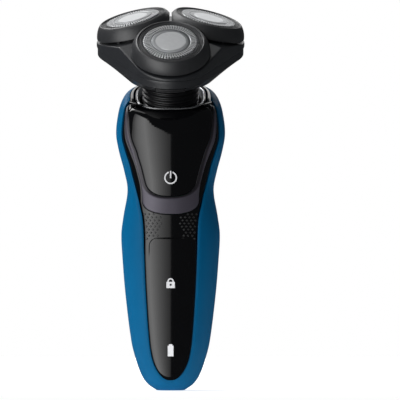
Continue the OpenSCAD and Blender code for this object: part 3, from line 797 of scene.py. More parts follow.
# A thin black collar fills the corner between the shield and the rim, and runs on round the back.
collar_side, collar_top, collar_bow, collar_end = 123.42, 123.76, 2.85, 0.893
collar_rise = [[0.885, 121.2], [0.935, 122.75], [0.972, 123.3], [1.0, collar_side]]


def collar_low(angle):
    """Where the collar's lower edge lies: it climbs from the shield's corner to the rim's side."""
    if math.sin(angle) > 0:
        return collar_side
    return curve(collar_rise, abs(math.cos(angle)) ** (2 / collar_bow)) + 0.02


collar_start = math.acos(collar_end ** (collar_bow / 2))
collar_columns = [-collar_start + (math.pi + 2 * collar_start) * k / 180 for k in range(181)]
collar_rings = [[round_point(a, collar_low(a) + (collar_top - collar_low(a)) * q, 0.12 if q == 0 else 0.0)
                 for a in collar_columns] for q in (0, 0.12, 0.3, 0.5, 0.75, 1)]
collar = skin("rim_collar", collar_rings, False)
thicken(collar, 0.9)
finish_piece(collar, "handle", "black_gloss", panel_gloss, angle=40)

rim_top = -cap_h
rim_profile = [(-0.05, -2.5), (0, -0.75), (-0.06, -0.45), (-0.2, -0.2), (-0.42, -0.04), (-0.66, 0),
               (-0.86, -0.06), (-1.02, -0.22), (-1.35, -0.9), (-1.75, -1.7), (-2.1, -2.3), (-2.2, -2.5)]
rim_rings = [rim_ring(rim_out + r, rim_top + z) for r, z in rim_profile + rim_profile[:1]]
neck_rim = skin("neck_rim_plated", rim_rings, True)


def plated_at(vertex):
    """Nought on the rim's outer wall, which is left black, and one from its crest inwards."""
    first = 3 if vertex.co.y < -8 * MM else 5
    return 1.0 if first <= vertex.index // rim_steps <= 10 else 0.0


mark(neck_rim.data, "plated", plated_at)
neck_rim.data.transform(head_frame)
finish_piece(neck_rim, "handle", "chrome_rim", chrome, "neck_rim", angle=50)

socket_top = rim_top - 2.7
coupling_socket = lathe("coupling_socket_cup", [
    (3.3, socket_floor - 1.2, 0), (3.3, socket_floor, 0.3), (4.2, socket_floor, 0),
    (4.5, socket_floor + 0.5, 0.2), (5.2, socket_floor + 0.5, 0.2), (5.5, socket_floor, 0),
    (socket_r - 0.1, socket_floor, 1.0), (socket_r - 0.1, socket_top - 1.2, 0),
    (socket_r + 0.1, socket_top, 0.1), (socket_r + 0.9, socket_top, 0.1),
    (socket_r + 0.9, socket_floor - 1.2, 0.3)], 128, head_frame)
finish_piece(coupling_socket, "handle", "black_satin", deep_black, "coupling_socket")

shaft_seal = lathe("shaft_seal_lip", [
    (1.15, socket_floor - 1.1, 0), (3.25, socket_floor - 1.1, 0), (3.25, socket_floor - 0.1, 0.2),
    (2.5, socket_floor - 0.1, 0.2), (2.1, socket_floor - 0.5, 0.2), (1.7, socket_floor - 0.15, 0.15),
    (1.15, socket_floor - 0.6, 0.1)], 64, head_frame)
finish_piece(shaft_seal, "handle", "rubber_black", rubber, "shaft_seal")


# ---- Head base and neck sleeve ---------------------------------------------------------------------
# The lower half of the head: a satin black dish of three rounded lobes that narrows to a hollow stem.
# A ribbed rubber sleeve is pushed over the stem and flexes when the head is pulled off.
head_satin = moulded("head_satin_black", (0.019, 0.020, 0.023), (0.027, 0.029, 0.032), 0.34,
                     grain_mm=0.16, depth_mm=0.007, Specular_IOR_Level=0.8)
unit_angles = [math.radians(a) for a in (-90, 30, 150)]
lobe_r, lobe_c = 16.6, 16.7
base_top, base_edge, neck_top, stem_low = -12.4, -15.7, -22.8, -36.0
neck_r, stem_r, rib_r = 18.0, 10.5, 12.0
head_columns = 288


def lobed(angle, grow=0.0):
    """Radius of the outline: three round lobes joined by straight flanks."""
    reach = lobe_r + grow
    off = min(abs(math.atan2(math.sin(angle - lobe), math.cos(angle - lobe))) for lobe in unit_angles)
    tangent = math.atan2(reach * math.sin(math.radians(60)), lobe_c + reach / 2)
    if off <= tangent:
        return lobe_c * math.cos(off) + math.sqrt(reach**2 - (lobe_c * math.sin(off)) ** 2)
    return (lobe_c / 2 + reach) / math.cos(math.radians(60) - off)


def circles(*corners):
    """Round rings from (radius, height) pairs."""
    return [head_ring(lambda a: r, z) for r, z in corners]


def lobes(*corners):
    """Lobed rings from (growth, height) pairs."""
    return [head_ring(lambda a: lobed(a, grow), z) for grow, z in corners]


def head_ring(radius_at, z_at):
    """A ring about the head axis: radius and height as functions of the angle."""
    ring = []
    for k in range(head_columns):
        angle = math.tau * k / head_columns
        r = radius_at(angle)
        x, y = r * math.cos(angle), r * math.sin(angle)
        z = z_at(x, y) if callable(z_at) else z_at
        ring.append(Vector((x, y, z)))
    return ring


def dish(z):
    """Radius function of the dish's outside: it flares from the neck's circle to the lobed outline."""
    share = clamp((z - neck_top) / (base_edge - neck_top))
    return lambda angle: neck_r + (lobed(angle, -0.4) - neck_r) * (share * (1.12 - 0.12 * share))


dish_rows = [neck_top + 0.25 + 0.5 * k for k in range(13)]
dish_rows += [-16.2, -15.95, -15.7, -15.4, -14.6, -13.6, -12.7]
outside = [head_ring(dish(z), z) for z in dish_rows]
outside += lobes((-0.45, -12.5), (-0.6, base_top))
inside = lobes((-1.6, base_top), (-1.7, base_top - 0.1), (-1.7, -14.7), (-1.9, -14.9))
inside += circles((7.3, -14.9), (7.2, -15.0), (7.2, -18.4), (1.56, -18.4), (1.56, -22), (8.9, -22),
                  (8.9, -33), (3.8, -33), (3.8, stem_low))
stem = circles((stem_r - 0.3, stem_low), (stem_r, stem_low + 0.3), (stem_r, neck_top - 0.3),
               (stem_r + 0.3, neck_top), (neck_r - 1.0, neck_top), (neck_r - 0.45, neck_top + 0.02),
               (neck_r - 0.15, neck_top + 0.08), (neck_r + 0.05, neck_top + 0.16))
head_base = skin("head_base_dish", stem + outside + inside + stem[:1], True)
head_base.data.transform(head_frame)


def join(piece, *others):
    """Makes other pieces part of this one."""
    only(piece)
    for other in others:
        other.select_set(True)
    bpy.ops.object.join()
    return piece


def joined(name, pieces):
    """Makes one piece of many, under a name of its own."""
    whole = join(*pieces)
    whole.name = name
    return whole


def cut(piece, *tools):
    """Cuts other solids out of a piece and throws them away."""
    for tool in tools:
        apply(piece, "BOOLEAN", operation="DIFFERENCE", object=tool, solver="EXACT")
        bpy.data.objects.remove(tool, do_unlink=True)


def block(name, low, high, place=None, bevel=0.0, segments=3):
    """A box between two corners, with rounded edges if a bevel is given."""
    bpy.ops.object.select_all(action="DESELECT")
    bpy.ops.mesh.primitive_cube_add(size=1)
    piece = bpy.context.object
    piece.name = name
    size = [(b - a) * MM for a, b in zip(low, high)]
    middle = [(a + b) / 2 * MM for a, b in zip(low, high)]
    piece.data.transform(Matrix.Translation(middle) @ Matrix.Diagonal((*size, 1)))
    if bevel:
        apply(piece, "BEVEL", width=bevel * MM, segments=segments, limit_method="ANGLE")
    if place:
        piece.data.transform(place)
    return piece


hinge_y, hinge_z, knuckle_r, knuckle_half = 26.2, -13.0, 1.7, 3.8


def on_hinge(x):
    return head_frame @ shift(x, hinge_y, hinge_z) @ turn(90, "Y")


def knuckle(name, low, high):
    """One knuckle of the hinge between two places along it, bored for the pin."""
    return lathe(name, [(0.75, 0, 0.1), (knuckle_r, 0, 0.25), (knuckle_r, high - low, 0.25),
                                (0.75, high - low, 0.1)], 40, on_hinge(low))


cut(head_base, block("latch_pocket", (-6.3, -40, -18.2), (6.3, -25.2, -15.8), head_frame),
    block("left_gap", (-9.5, 22, -15.1), (-3.8, 30, -10), head_frame),
    block("right_gap", (3.8, 22, -15.1), (9.5, 30, -10), head_frame))
join(head_base, knuckle("middle_knuckle", -knuckle_half, knuckle_half),
     block("knuckle_root", (-3.7, 23, -14.6), (3.7, 25.6, -13.1), head_frame, 0.2))
finish_piece(head_base, "head", "black_satin", head_satin, "head_base", angle=38)

rib_count, rib_pitch, top_rib = 5, 2.0, -23.9
rib_line = [(stem_r + 0.03, stem_low + 2, 0), (stem_r + 0.03, neck_top - 0.1, 0),
            (rib_r - 0.1, neck_top - 0.1, 0.1)]
for k in range(rib_count):
    z = top_rib - rib_pitch * k
    rib_line += [(rib_r, z - 0.25, 0.3), (rib_r, z - 0.75, 0.3), (rib_r - 0.85, z - 1.15, 0.25),
                 (rib_r - 0.85, z - 1.6, 0.25)]
rib_line += [(rib_r - 0.2, stem_low + 2, 0.1)]
neck_sleeve = lathe("neck_sleeve_ribbed", rib_line, 128, head_frame, 3)
finish_piece(neck_sleeve, "head", "rubber_black", rubber, "neck_sleeve", angle=60)


# ---- Head cover ------------------------------------------------------------------------------------
# The upper half of the head: one moulding whose deck is three tilted seats, one under each shaving unit.
# It closes on the dish with a fine parting line and swings up on a steel pin at the back.
unit_r, unit_tilt, deck_z, deck_t, unit_hole = 18.4, math.radians(16), -6.6, 1.2, 13.2
cover_low = -12.3
unit_frames = [out_to(a, unit_r) @ Matrix.Rotation(unit_tilt, 4, "Y") for a in unit_angles]


def seat_height(x, y, level):
    """Height of the lowest of the three tilted planes that lie so far above their caps' planes."""
    heights = []
    for a in unit_angles:
        normal = Vector((math.sin(unit_tilt) * math.cos(a), math.sin(unit_tilt) * math.sin(a),
                         math.cos(unit_tilt)))
        point = Vector((unit_r * math.cos(a), unit_r * math.sin(a), 0)) + normal * level
        heights.append((normal.dot(point) - normal.x * x - normal.y * y) / normal.z)
    return min(heights)


def wall_ring(grow, drop):
    return head_ring(lambda a: lobed(a, grow), lambda x, y: seat_height(x, y, deck_z) - drop)


def deck_ring(share, grow, level):
    return head_ring(lambda a: lobed(a, grow) * share, lambda x, y: seat_height(x, y, level))


shares = [0.95, 0.85, 0.7, 0.55, 0.4, 0.25, 0.12, 0.03]
cover_rings = [deck_ring(q, -1.5, deck_z - deck_t) for q in reversed(shares)]
cover_rings += [deck_ring(1, -1.5, deck_z - deck_t)]
cover_rings += lobes((-1.5, cover_low), (-0.25, cover_low), (-0.05, -12.15), (0, -11.95))
wall_foot = cover_rings[-1]
for q in (0.3, 0.6, 0.85):
    cover_rings.append([foot.lerp(top, q) for top, foot in zip(wall_ring(0, 0.6), wall_foot)])
cover_rings += [wall_ring(0, 0.6), wall_ring(-0.05, 0.3), wall_ring(-0.17, 0.11), wall_ring(-0.35, 0.02)]
cover_rings += [deck_ring(q, -0.4, deck_z) for q in [0.985] + shares]
head_cover = skin("head_cover_moulding", cover_rings, True)
face_out(head_cover, close=True)
bore = [(0, -12, 0), (unit_hole, -12, 0), (unit_hole, 0, 0), (0, 0, 0)]
for unit in unit_frames:
    cut(head_cover, lathe("unit_bore", bore, 128, unit))
head_cover.data.transform(head_frame)
join(head_cover, knuckle("left_knuckle", -9.0, -4.15), knuckle("right_knuckle", 4.15, 9.0),
     block("left_root", (-8.9, 23.6, -12.3), (-4.2, 25.4, -11.4), head_frame, 0.2),
     block("right_root", (4.2, 23.6, -12.3), (8.9, 25.4, -11.4), head_frame, 0.2))
finish_piece(head_cover, "cover", "black_satin", head_satin, "head_cover", angle=38)

steel = metal("turned_steel", (0.50, 0.51, 0.53), (0.60, 0.61, 0.62), (0.5, 4), 0.24, 0.16, (2.0, 4, 0.6),
              (4.0, 3), 0.004)
hinge_pin = lathe("hinge_pin_turned", [(0, 0, 0), (0.7, 0, 0.2), (0.7, 17.8, 0.2), (0, 17.8, 0)], 32,
                  on_hinge(-8.9))
finish_piece(hinge_pin, "cover", "steel_plain", steel, "hinge_pin")


# ---- Release button --------------------------------------------------------------------------------
# A narrow catch at the front of the dish. Its outer face follows the lobe, and four grip lines are
# moulded across it.
latch_black = moulded("latch_black", (0.016, 0.016, 0.018), (0.024, 0.024, 0.026), 0.4)
latch_r, latch_mid = lobe_r - 0.3, -lobe_c
latch_rings = []
for grow, z in ((-0.15, -17.3), (0, -17.15), (0, -16.9), (-0.12, -16.8), (0, -16.7), (-0.12, -16.6),
                (0, -16.5), (0, -16.15), (-0.15, -16.0)):
    ring = []
    for k in range(33):
        x = -6 + 12 * k / 32
        front = latch_mid - math.sqrt((latch_r + grow) ** 2 - x * x)
        ring.append(Vector((x, front, z)))
    ring += [Vector((6 - 12 * k / 32, -26.8, z)) for k in range(33)]
    latch_rings.append(ring)
release_button = skin("release_catch", latch_rings, True)
face_out(release_button, close=True)
release_button.data.transform(head_frame)
finish_piece(release_button, "latch", "black_satin", latch_black, "release_button")


# ---- Shaving units: rings --------------------------------------------------------------------------
# Each unit floats on two short trunnions. Its satin black ring has a full, rounded skirt, fine grooves
# turned round the cap, and flats where it would meet its neighbours.
cap_r, ring_low_r, ring_h = 11.6, 16.7, 5.6
sleeve_r, sleeve_low, pivot_z, sector_gap = 12.9, -7.0, -6.03, 0.5
ring_satin = moulded("ring_satin_black", (0.020, 0.021, 0.023), (0.028, 0.029, 0.032), 0.42,
                     grain_mm=0.14, depth_mm=0.005, Specular_IOR_Level=1.0)
ring_corners = [(cap_r + 0.15, -0.35, 0.05)]
for groove in (12.15, 12.75, 13.35):
    ring_corners += [(groove - 0.17, -0.35, 0.08), (groove - 0.08, -0.62, 0.05),
                     (groove + 0.08, -0.62, 0.05), (groove + 0.17, -0.33, 0.08)]
ring_corners += [(13.65, -0.25, 0.1), (13.9, 0.04, 0.15), (14.4, -0.2, 0.3), (15.25, -1.25, 0.8),
                 (16.0, -2.7, 1.0), (16.5, -4.2, 0.9), (ring_low_r, -5.3, 0.2),
                 (ring_low_r - 0.1, -ring_h, 0.15), (ring_low_r - 1.1, -ring_h, 0.25), (14.2, -1.6, 0.3),
                 (sleeve_r, -1.6, 0.1), (sleeve_r, sleeve_low, 0.2), (cap_r + 0.5, sleeve_low, 0.2),
                 (cap_r + 0.5, -4.5, 0), (cap_r + 0.15, -4.5, 0)]
for i, (angle, unit) in enumerate(zip(unit_angles, unit_frames), 1):
    ring = lathe(f"unit_ring_{i}", ring_corners, 160, unit)
    only(ring)
    bpy.ops.object.mode_set(mode="EDIT")
    for side in (-1, 1):
        way = angle + side * math.radians(-30)
        normal = Vector((math.cos(way), math.sin(way), 0))
        bpy.ops.mesh.select_all(action="SELECT")
        bpy.ops.mesh.bisect(plane_co=normal * sector_gap * MM, plane_no=normal, use_fill=True,
                            clear_inner=True)
    face_out(ring, merge=True)
    for side in (-1, 1):
        pin = lathe(f"trunnion_{i}", [(0, 12.6, 0), (0.8, 12.6, 0), (0.8, 15.1, 0.2), (0, 15.1, 0)], 24,
                    unit @ shift(0, 0, pivot_z) @ turn(side * 90, "X"))
        join(ring, pin)
    ring.data.transform(head_frame)
    finish_piece(ring, f"unit_{i}", "black_satin", ring_satin, f"ring_{i}", angle=32)


# ---- Shaving units: guards -------------------------------------------------------------------------
# Each guard is a pressed steel cap, with short slots over the edge of its rim, a ring of long slots
# inside them, and a polished middle plate. It is cut through, so the cutter shows behind the slots.
guard_steel = Finish("guard_steel", Metallic=1.0)
turned = guard_steel.node("Attribute", {"attribute_name": "turned"}, out="Fac")
brush = guard_steel.node("TexNoise", {"noise_dimensions": "1D"}, {"W": turned, "Scale": 9.0, "Detail": 3.0},
                         out="Fac")
dull = guard_steel.noise(0.7, 3)
bright = guard_steel.mix(dull, (0.56, 0.57, 0.58), (0.66, 0.67, 0.68))
etched = guard_steel.mix(dull, (0.28, 0.29, 0.30), (0.38, 0.39, 0.40))
middle = guard_steel.mix((turned - 6.3) * 8, bright, etched)
guard_steel.set("Base Color", guard_steel.mix((turned - 8.3) * 6, middle, bright))
guard_steel.set("Roughness", 0.27 + brush * 0.12 + guard_steel.noise(1.5, 4) * 0.06)
guard_steel.bump(brush + guard_steel.noise(4, 2) * 0.3, 0.006)

slot_count = 60
guard_stations = [(cap_r - 0.3, -4.9), (cap_r - 0.02, -4.6), (cap_r, -4.2), (cap_r, -0.75),
                  (cap_r - 0.04, -0.5), (cap_r - 0.12, -0.28), (cap_r - 0.26, -0.1), (cap_r - 0.45, -0.02),
                  (cap_r - 0.7, 0.0), (10.4, 0.0), (10.3, 0.0), (8.6, 0.02), (8.45, 0.02), (8.35, -0.04),
                  (8.26, -0.25), (8.06, -0.25), (7.98, 0.05), (7.9, 0.08), (7.4, 0.1), (7.3, 0.12),
                  (6.9, 0.14), (6.45, 0.15), (6.38, 0.07), (6.26, 0.07), (6.19, 0.16),
                  (4.6, 0.17), (2.8, 0.175), (1.2, 0.18), (0.4, 0.18)]
rim_slot_rows, face_slot_row = range(4, 9), 10
quarters = [math.tau * k / (4 * slot_count) for k in range(4 * slot_count)]
guard_rings = [[Vector((r * math.cos(a), r * math.sin(a), z)) for a in quarters] for r, z in guard_stations]


def between_slots(row, quarter):
    """A slot is open over two quarters of each pitch; those of the face lie a quarter further round."""
    if row in rim_slot_rows:
        return quarter % 4 not in (1, 2)
    return row != face_slot_row or quarter % 4 not in (0, 1)


for i, unit in enumerate(unit_frames, 1):
    guard = skin(f"guard_cap_{i}", guard_rings, True, between_slots)
    face_out(guard)
    mark(guard.data, "turned", turning_radius)
    apply(guard, "SOLIDIFY", thickness=0.22 * MM, offset=-1)
    disc = lathe(f"guard_middle_{i}", [(0, 0.0, 0), (0.5, 0.0, 0), (0.5, 0.18, 0.02), (0, 0.18, 0)], 24)
    join(guard, disc)
    guard.data.transform(head_frame @ unit)
    finish_piece(guard, f"unit_{i}", "steel_bright", guard_steel, f"guard_{i}", angle=30)


# ---- Shaving units: cutters and retainers ----------------------------------------------------------
# Under each guard turns a steel cutter with fifteen raised blades on a plastic hub, whose socket sits on
# the drive spindle's ball. A black snap ring holds guard and cutter in the ring.
# The cutter's steel is painted far darker than bare steel, as the shade that falls under the guard.
cutter_steel_painted_shade = metal("ground_cutter_steel_painted_shade", (0.20, 0.205, 0.21), (0.30, 0.305, 0.31), (0.9, 3), 0.22, 0.2,
                     (3, 4, 0.6), (6, 2), 0.004)
hub_white = moulded("acetal_white", (0.62, 0.62, 0.58), (0.70, 0.70, 0.66), 0.38, grain_mm=0.1,
                    depth_mm=0.004)
blade_count, blade_lean, ball_r = 15, 14, 1.3
for i, unit in enumerate(unit_frames, 1):
    cutter = lathe(f"cutter_{i}_turned", [
        (2.6, -2.0, 0), (10.6, -2.0, 0.1), (10.6, -2.6, 0.1), (3.1, -2.6, 0.2), (3.1, -7.9, 0.3),
        (2.35, -7.9, 0.1), (1.5, -6.6, 0.1), (1.46, -4.9, 0.3), (0.9, -4.65, 0.2), (0, -4.6, 0),
        (0, -2.3, 0), (1.8, -2.3, 0.1)], 64)
    blades = []
    for k in range(blade_count):
        spot = turn(360 * k / blade_count, "Z") @ turn(blade_lean, "X")
        blades.append(block(f"blade_{i}_{k}", (8.4, -0.26, -2.25), (10.5, 0.26, -0.9), spot, 0.06, 2))
    join(cutter, *blades)
    cutter.data.transform(head_frame @ unit)
    finish_piece(cutter, f"blades_{i}", "steel_plain", cutter_steel_painted_shade, f"cutter_{i}", angle=30)

for i, unit in enumerate(unit_frames, 1):
    retainer = lathe(f"retainer_{i}_snap_ring", [
        (9.8, -6.6, 0.2), (cap_r + 0.2, -6.6, 0.2), (cap_r + 0.45, -6.3, 0.15), (cap_r + 0.45, -5.5, 0.15),
        (cap_r + 0.2, -5.3, 0.1), (9.8, -5.3, 0.2)], 96)
    grips = []
    for k in range(3):
        spot = Matrix.Rotation(math.tau * k / 3 + 0.4, 4, "Z")
        grips.append(block(f"grip_{i}_{k}", (9.0, -1.1, -6.5), (10.2, 1.1, -5.6), spot, 0.2))
    join(retainer, *grips)
    retainer.data.transform(head_frame @ unit)
    finish_piece(retainer, f"unit_{i}", "black_satin", deep_black, f"retainer_{i}", angle=35)


# ---- Drive: gear plate, gears and spindles ---------------------------------------------------------
# Three acetal gears turn under a thin steel plate, driven by the pinion in the middle. A sprung spindle
# with a ball end stands on each gear, and three screws hold the plate down.
gear_floor, gear_t, plate_top, plate_t, gear_c, plate_screw_r = -14.9, 1.7, -12.0, 0.6, 16.8, 20.2
gear_module, pinion_teeth, gear_teeth = 0.7, 12, 36
plate_steel = metal("gear_plate_steel", (0.36, 0.37, 0.39), (0.46, 0.47, 0.48), (0.3, 4), 0.34, 0.14,
                    (0.8, 5, 0.7), (2, 3), 0.006)

plate_rings = lobes((-2.05, plate_top - plate_t), (-2.05, -12.1), (-2.15, plate_top))
plate_rings += circles((2.4, plate_top), (2.3, -12.1), (2.3, plate_top - plate_t))
gear_plate = skin("gear_plate_pressed", plate_rings + plate_rings[:1], True)
face_out(gear_plate)
for a in unit_angles:
    for turned_by, reach, hole in ((a, gear_c, 2.05), (a + math.radians(60), plate_screw_r, 0.9)):
        cut(gear_plate, lathe("plate_hole", [(0, -14, 0), (hole, -14, 0), (hole, -11, 0), (0, -11, 0)], 40,
                              out_to(turned_by, reach)))
gear_plate.data.transform(head_frame)
finish_piece(gear_plate, "head", "steel_plain", plate_steel, "gear_plate", angle=35)


def screw(name, shank_r, shank_l, head_r, head_h, place):
    """A pan-head screw with a cross recess; its head's underside is at zero, its shank points down."""
    piece = lathe(name, [(0, -shank_l, 0), (shank_r * 0.6, -shank_l, 0.1), (shank_r, -shank_l + 0.4, 0.1),
                                 (shank_r, 0, 0), (head_r, 0, 0.1), (head_r, head_h * 0.5, 0.2),
                                 (head_r * 0.7, head_h, 0.3), (0, head_h, 0)], 36)
    w, deep = head_r * 0.16, head_h * 0.45
    cut(piece, block("recess", (-head_r * 0.62, -w, deep), (head_r * 0.62, w, head_h + 1)),
        block("recess", (-w, -head_r * 0.62, deep), (w, head_r * 0.62, head_h + 1)))
    piece.data.transform(place)
    return piece


plate_screws = joined("gear_plate_screw_set", [
    screw(f"plate_screw_{k}", 0.85, 2.8, 1.6, 0.9,
          head_frame @ out_to(a + math.radians(60), plate_screw_r) @ shift(0, 0, plate_top + 0.02))
    for k, a in enumerate(unit_angles)])
finish_piece(plate_screws, "head", "steel_plain", steel, "gear_plate_screws", angle=32)


def gear(name, teeth, phase, bore, low, high):
    """A straight-cut gear with slightly rounded tooth tips and a turned web."""
    pitch_r = gear_module * teeth / 2
    tip, root, step = pitch_r + 0.62, pitch_r - 0.85, math.tau / teeth
    outline = []
    for k in range(teeth):
        for r, f in ((root, -0.34), (root + 0.25, -0.27), (pitch_r, -0.2), (tip - 0.12, -0.13),
                     (tip, -0.08), (tip, 0.08), (tip - 0.12, 0.13), (pitch_r, 0.2), (root + 0.25, 0.27),
                     (root, 0.34)):
            a = phase + (k + f) * step
            outline.append((r * math.cos(a), r * math.sin(a)))
    web = root - 1.2 if teeth > 20 else root - 0.6
    web_in = bore + 1.6 if teeth > 20 else root - 0.9
    dip = 0.35 if teeth > 20 else 0.1

    def ring(scale_to, z, inset=0.0):
        points = []
        for x, y in outline:
            r = math.hypot(x, y)
            to = (r - inset) if scale_to is None else scale_to
            points.append(Vector((x / r * to, y / r * to, z)))
        return points

    rings = [ring(None, low, 0.08), ring(None, low + 0.08), ring(None, high - 0.08), ring(None, high, 0.08),
             ring(web, high), ring(web - 0.2, high - dip), ring(web_in + 0.2, high - dip), ring(web_in, high),
             ring(bore, high), ring(bore, low), ring(web_in, low), ring(web_in + 0.2, low + dip),
             ring(web - 0.2, low + dip), ring(web, low)]
    piece = skin(name, rings + rings[:1], True)
    face_out(piece)
    return piece


gear_low = gear_floor + 0.3
pinion = gear("pinion_cut", pinion_teeth, 0, 1.2, gear_low, gear_low + gear_t)
shaft = lathe("pinion_shaft", [(0, -33.0, 0), (1.5, -33.0, 0.1), (1.5, gear_low + gear_t + 0.4, 0.3),
                                       (0, gear_low + gear_t + 0.4, 0)], 48)
bpy.ops.object.select_all(action="DESELECT")
bpy.ops.mesh.primitive_cylinder_add(vertices=6, radius=1.68 * MM, depth=1.3 * MM, location=(0, 0, -33.4 * MM))
hexagon = bpy.context.object
bpy.ops.object.transform_apply(location=True)
apply(hexagon, "BEVEL", width=0.12 * MM, segments=2, limit_method="ANGLE")
join(pinion, shaft, hexagon)
pinion.data.transform(head_frame)
finish_piece(pinion, "pinion", "gear_white", hub_white, "central_pinion", angle=32)

for i, a in enumerate(unit_angles, 1):
    seat = head_frame @ out_to(a, gear_c)
    wheel = gear(f"drive_gear_{i}_cut", gear_teeth, math.radians(50), 1.2, gear_low, gear_low + gear_t)
    wheel.data.transform(seat)
    finish_piece(wheel, f"gear_{i}", "gear_white", hub_white, f"drive_gear_{i}", angle=32)
    top = gear_low + gear_t
    spindle = lathe(f"drive_spindle_{i}_turned", [
        (0, gear_low, 0), (1.18, gear_low, 0.1), (1.18, top + 0.02, 0), (1.95, top + 0.02, 0.1),
        (1.95, top + 3.2, 0.25), (1.4, top + 3.42, 0.1), (0.9, top + 3.5, 0.1), (0.9, -7.0, 0.2),
        (1.15, -6.4, 0.1), (ball_r, -5.8, 0.4), (1.05, -5.0, 0.3), (0.5, -4.58, 0.2), (0, -4.5, 0)], 40, seat)
    finish_piece(spindle, f"gear_{i}", "steel_bright", steel, f"drive_spindle_{i}", angle=40)


# ---- Inside the handle: chassis and battery --------------------------------------------------------
# A ribbed grey frame carries everything inside the shell. The single cell lies in its cradle in a green
# sleeve, with two spot-welded nickel tabs that lead forward to the board.
chassis_grey = moulded("chassis_grey", (0.25, 0.26, 0.28), (0.31, 0.32, 0.34), 0.5)
cell_wrap = moulded("cell_sleeve", (0.05, 0.26, 0.12), (0.07, 0.31, 0.15), 0.28, grain_mm=0.8, depth_mm=0.004)


def rounded_copy(node, bevel, angle=32):
    """A merged copy of a CAD piece with its edges rounded."""
    piece = placed(node + "_rounded", bpy.data.objects[node].data.copy())
    piece.matrix_world = bpy.data.objects[node].matrix_world.copy()
    only(piece)
    bpy.ops.object.transform_apply(location=True, rotation=True, scale=True)
    bpy.ops.object.mode_set(mode="EDIT")
    bpy.ops.mesh.select_all(action="SELECT")
    bpy.ops.mesh.remove_doubles(threshold=1e-6)
    bpy.ops.mesh.dissolve_limited(angle_limit=math.radians(1))
    face_out(piece)
    apply(piece, "BEVEL", width=bevel * MM, segments=2, limit_method="ANGLE", angle_limit=math.radians(angle),
          use_clamp_overlap=True)
    return piece


chassis = rounded_copy("inner_chassis", 0.2)
finish_piece(chassis, "handle", "chassis_grey", chassis_grey, "inner_chassis")
chassis_screws = joined("chassis_screw_set", [
    screw("chassis_screw", 0.7, 3.3, 1.4, 0.9, shift(x, -8.42, z) @ turn(90, "X"))
    for z in (22, 80) for x in (-5.5, 5.5)])
finish_piece(chassis_screws, "handle", "steel_plain", steel, "chassis_screws", angle=32)

cell_r, cell_y, cell_z, cell_l = 7.05, 3.5, 24.0, 50.0
cell = lathe("battery_cell_sleeved", [
    (0, 0, 0), (cell_r - 0.9, 0, 0), (cell_r - 0.8, 0.12, 0.05), (cell_r, 0.12, 0.5), (cell_r, 45.6, 0.2),
    (cell_r - 0.3, 46.0, 0.2), (cell_r - 0.3, 46.5, 0.2), (cell_r, 46.9, 0.2), (cell_r, cell_l, 0.6),
    (cell_r - 1.4, cell_l, 0.1), (cell_r - 1.5, cell_l - 0.2, 0.1), (2.8, cell_l - 0.2, 0.1),
    (2.8, cell_l + 1.15, 0.3), (0, cell_l + 1.15, 0)], 72, shift(0, cell_y, cell_z))
finish_piece(cell, "handle", "cell_wrap", cell_wrap, "battery_cell")
tabs = join(block("tab_high", (-2, -4.9, 75.2), (2, 3.5, 75.45), None, 0.08, 2),
            block("tab_low", (-2, -4.9, 23.73), (2, 3.5, 23.98), None, 0.08, 2))
finish_piece(tabs, "handle", "steel_plain", steel, "battery_tabs")


# ---- Inside the handle: circuit board --------------------------------------------------------------
# A green board screwed to the chassis carries the charge controller, the switch under the power button,
# a small light behind each mark, and a scatter of surface-mounted parts.
board_green = Finish("board_green", Roughness=0.32, Coat_Weight=0.6, Coat_Roughness=0.15)
spot = board_green.place()
runs = board_green.node("TexWave", {"bands_direction": "X"},
                        {"Vector": spot, "Scale": 520.0, "Distortion": 3.0, "Detail": 1.0}, out="Fac")
tracks = board_green.steps(runs, [(0.0, 0.0), (0.72, 0.0), (0.8, 1.0), (1.0, 1.0)])
board_green.set("Base Color", board_green.mix(tracks, (0.006, 0.075, 0.035), (0.015, 0.13, 0.06)))
board_green.set("Roughness", 0.25 + board_green.noise(1.0, 3) * 0.15)
board_green.bump(tracks, 0.01)
chip_black = moulded("chip_black", (0.014, 0.014, 0.015), (0.022, 0.022, 0.023), 0.6, grain_mm=0.08)
solder = metal("tinned_copper", (0.55, 0.55, 0.54), (0.70, 0.70, 0.68), (2, 3), 0.28, 0.2, (3, 4),
               (2.5, 3), 0.02)
gold = metal("gold_plate", (0.72, 0.48, 0.16), (0.82, 0.58, 0.22), (1, 3), 0.2, 0.12, (3, 4), (3, 3), 0.004)

board_face = -10.2
for node, bevel, slot, finish in (
        ("circuit_board", 0.08, "board_green", board_green),
        ("tact_switch", 0.15, "chassis_grey", chip_black),
        ("status_leds", 0.12, "white_lens", lens_white),
        ("charge_controller", 0.12, "black_satin", chip_black)):
    finish_piece(rounded_copy(node, bevel), "handle", slot, finish, node)
legs = []
for side in (-1, 1):
    for k in range(8):
        x = -2.8 + 0.8 * k
        edge = 29.5 + side * 3.45
        legs.append(block("leg", (x - 0.15, board_face - 0.6, edge - 0.1 + side * 0.05),
                          (x + 0.15, board_face - 0.45, edge + 0.1 + side * 0.35)))
        legs.append(block("foot", (x - 0.15, board_face - 0.6, edge + side * 0.35 - 0.08),
                          (x + 0.15, board_face - 0.02, edge + side * 0.35 + 0.08)))
finish_piece(joined("controller_legs", legs), "handle", "steel_plain", solder)


def on_board(name, x, z, half_x, half_z, front, back):
    """A small box on the board, between two distances in front of its face."""
    return block(name, (x - half_x, board_face - front, z - half_z),
                 (x + half_x, board_face - back, z + half_z), None, 0.06, 2)


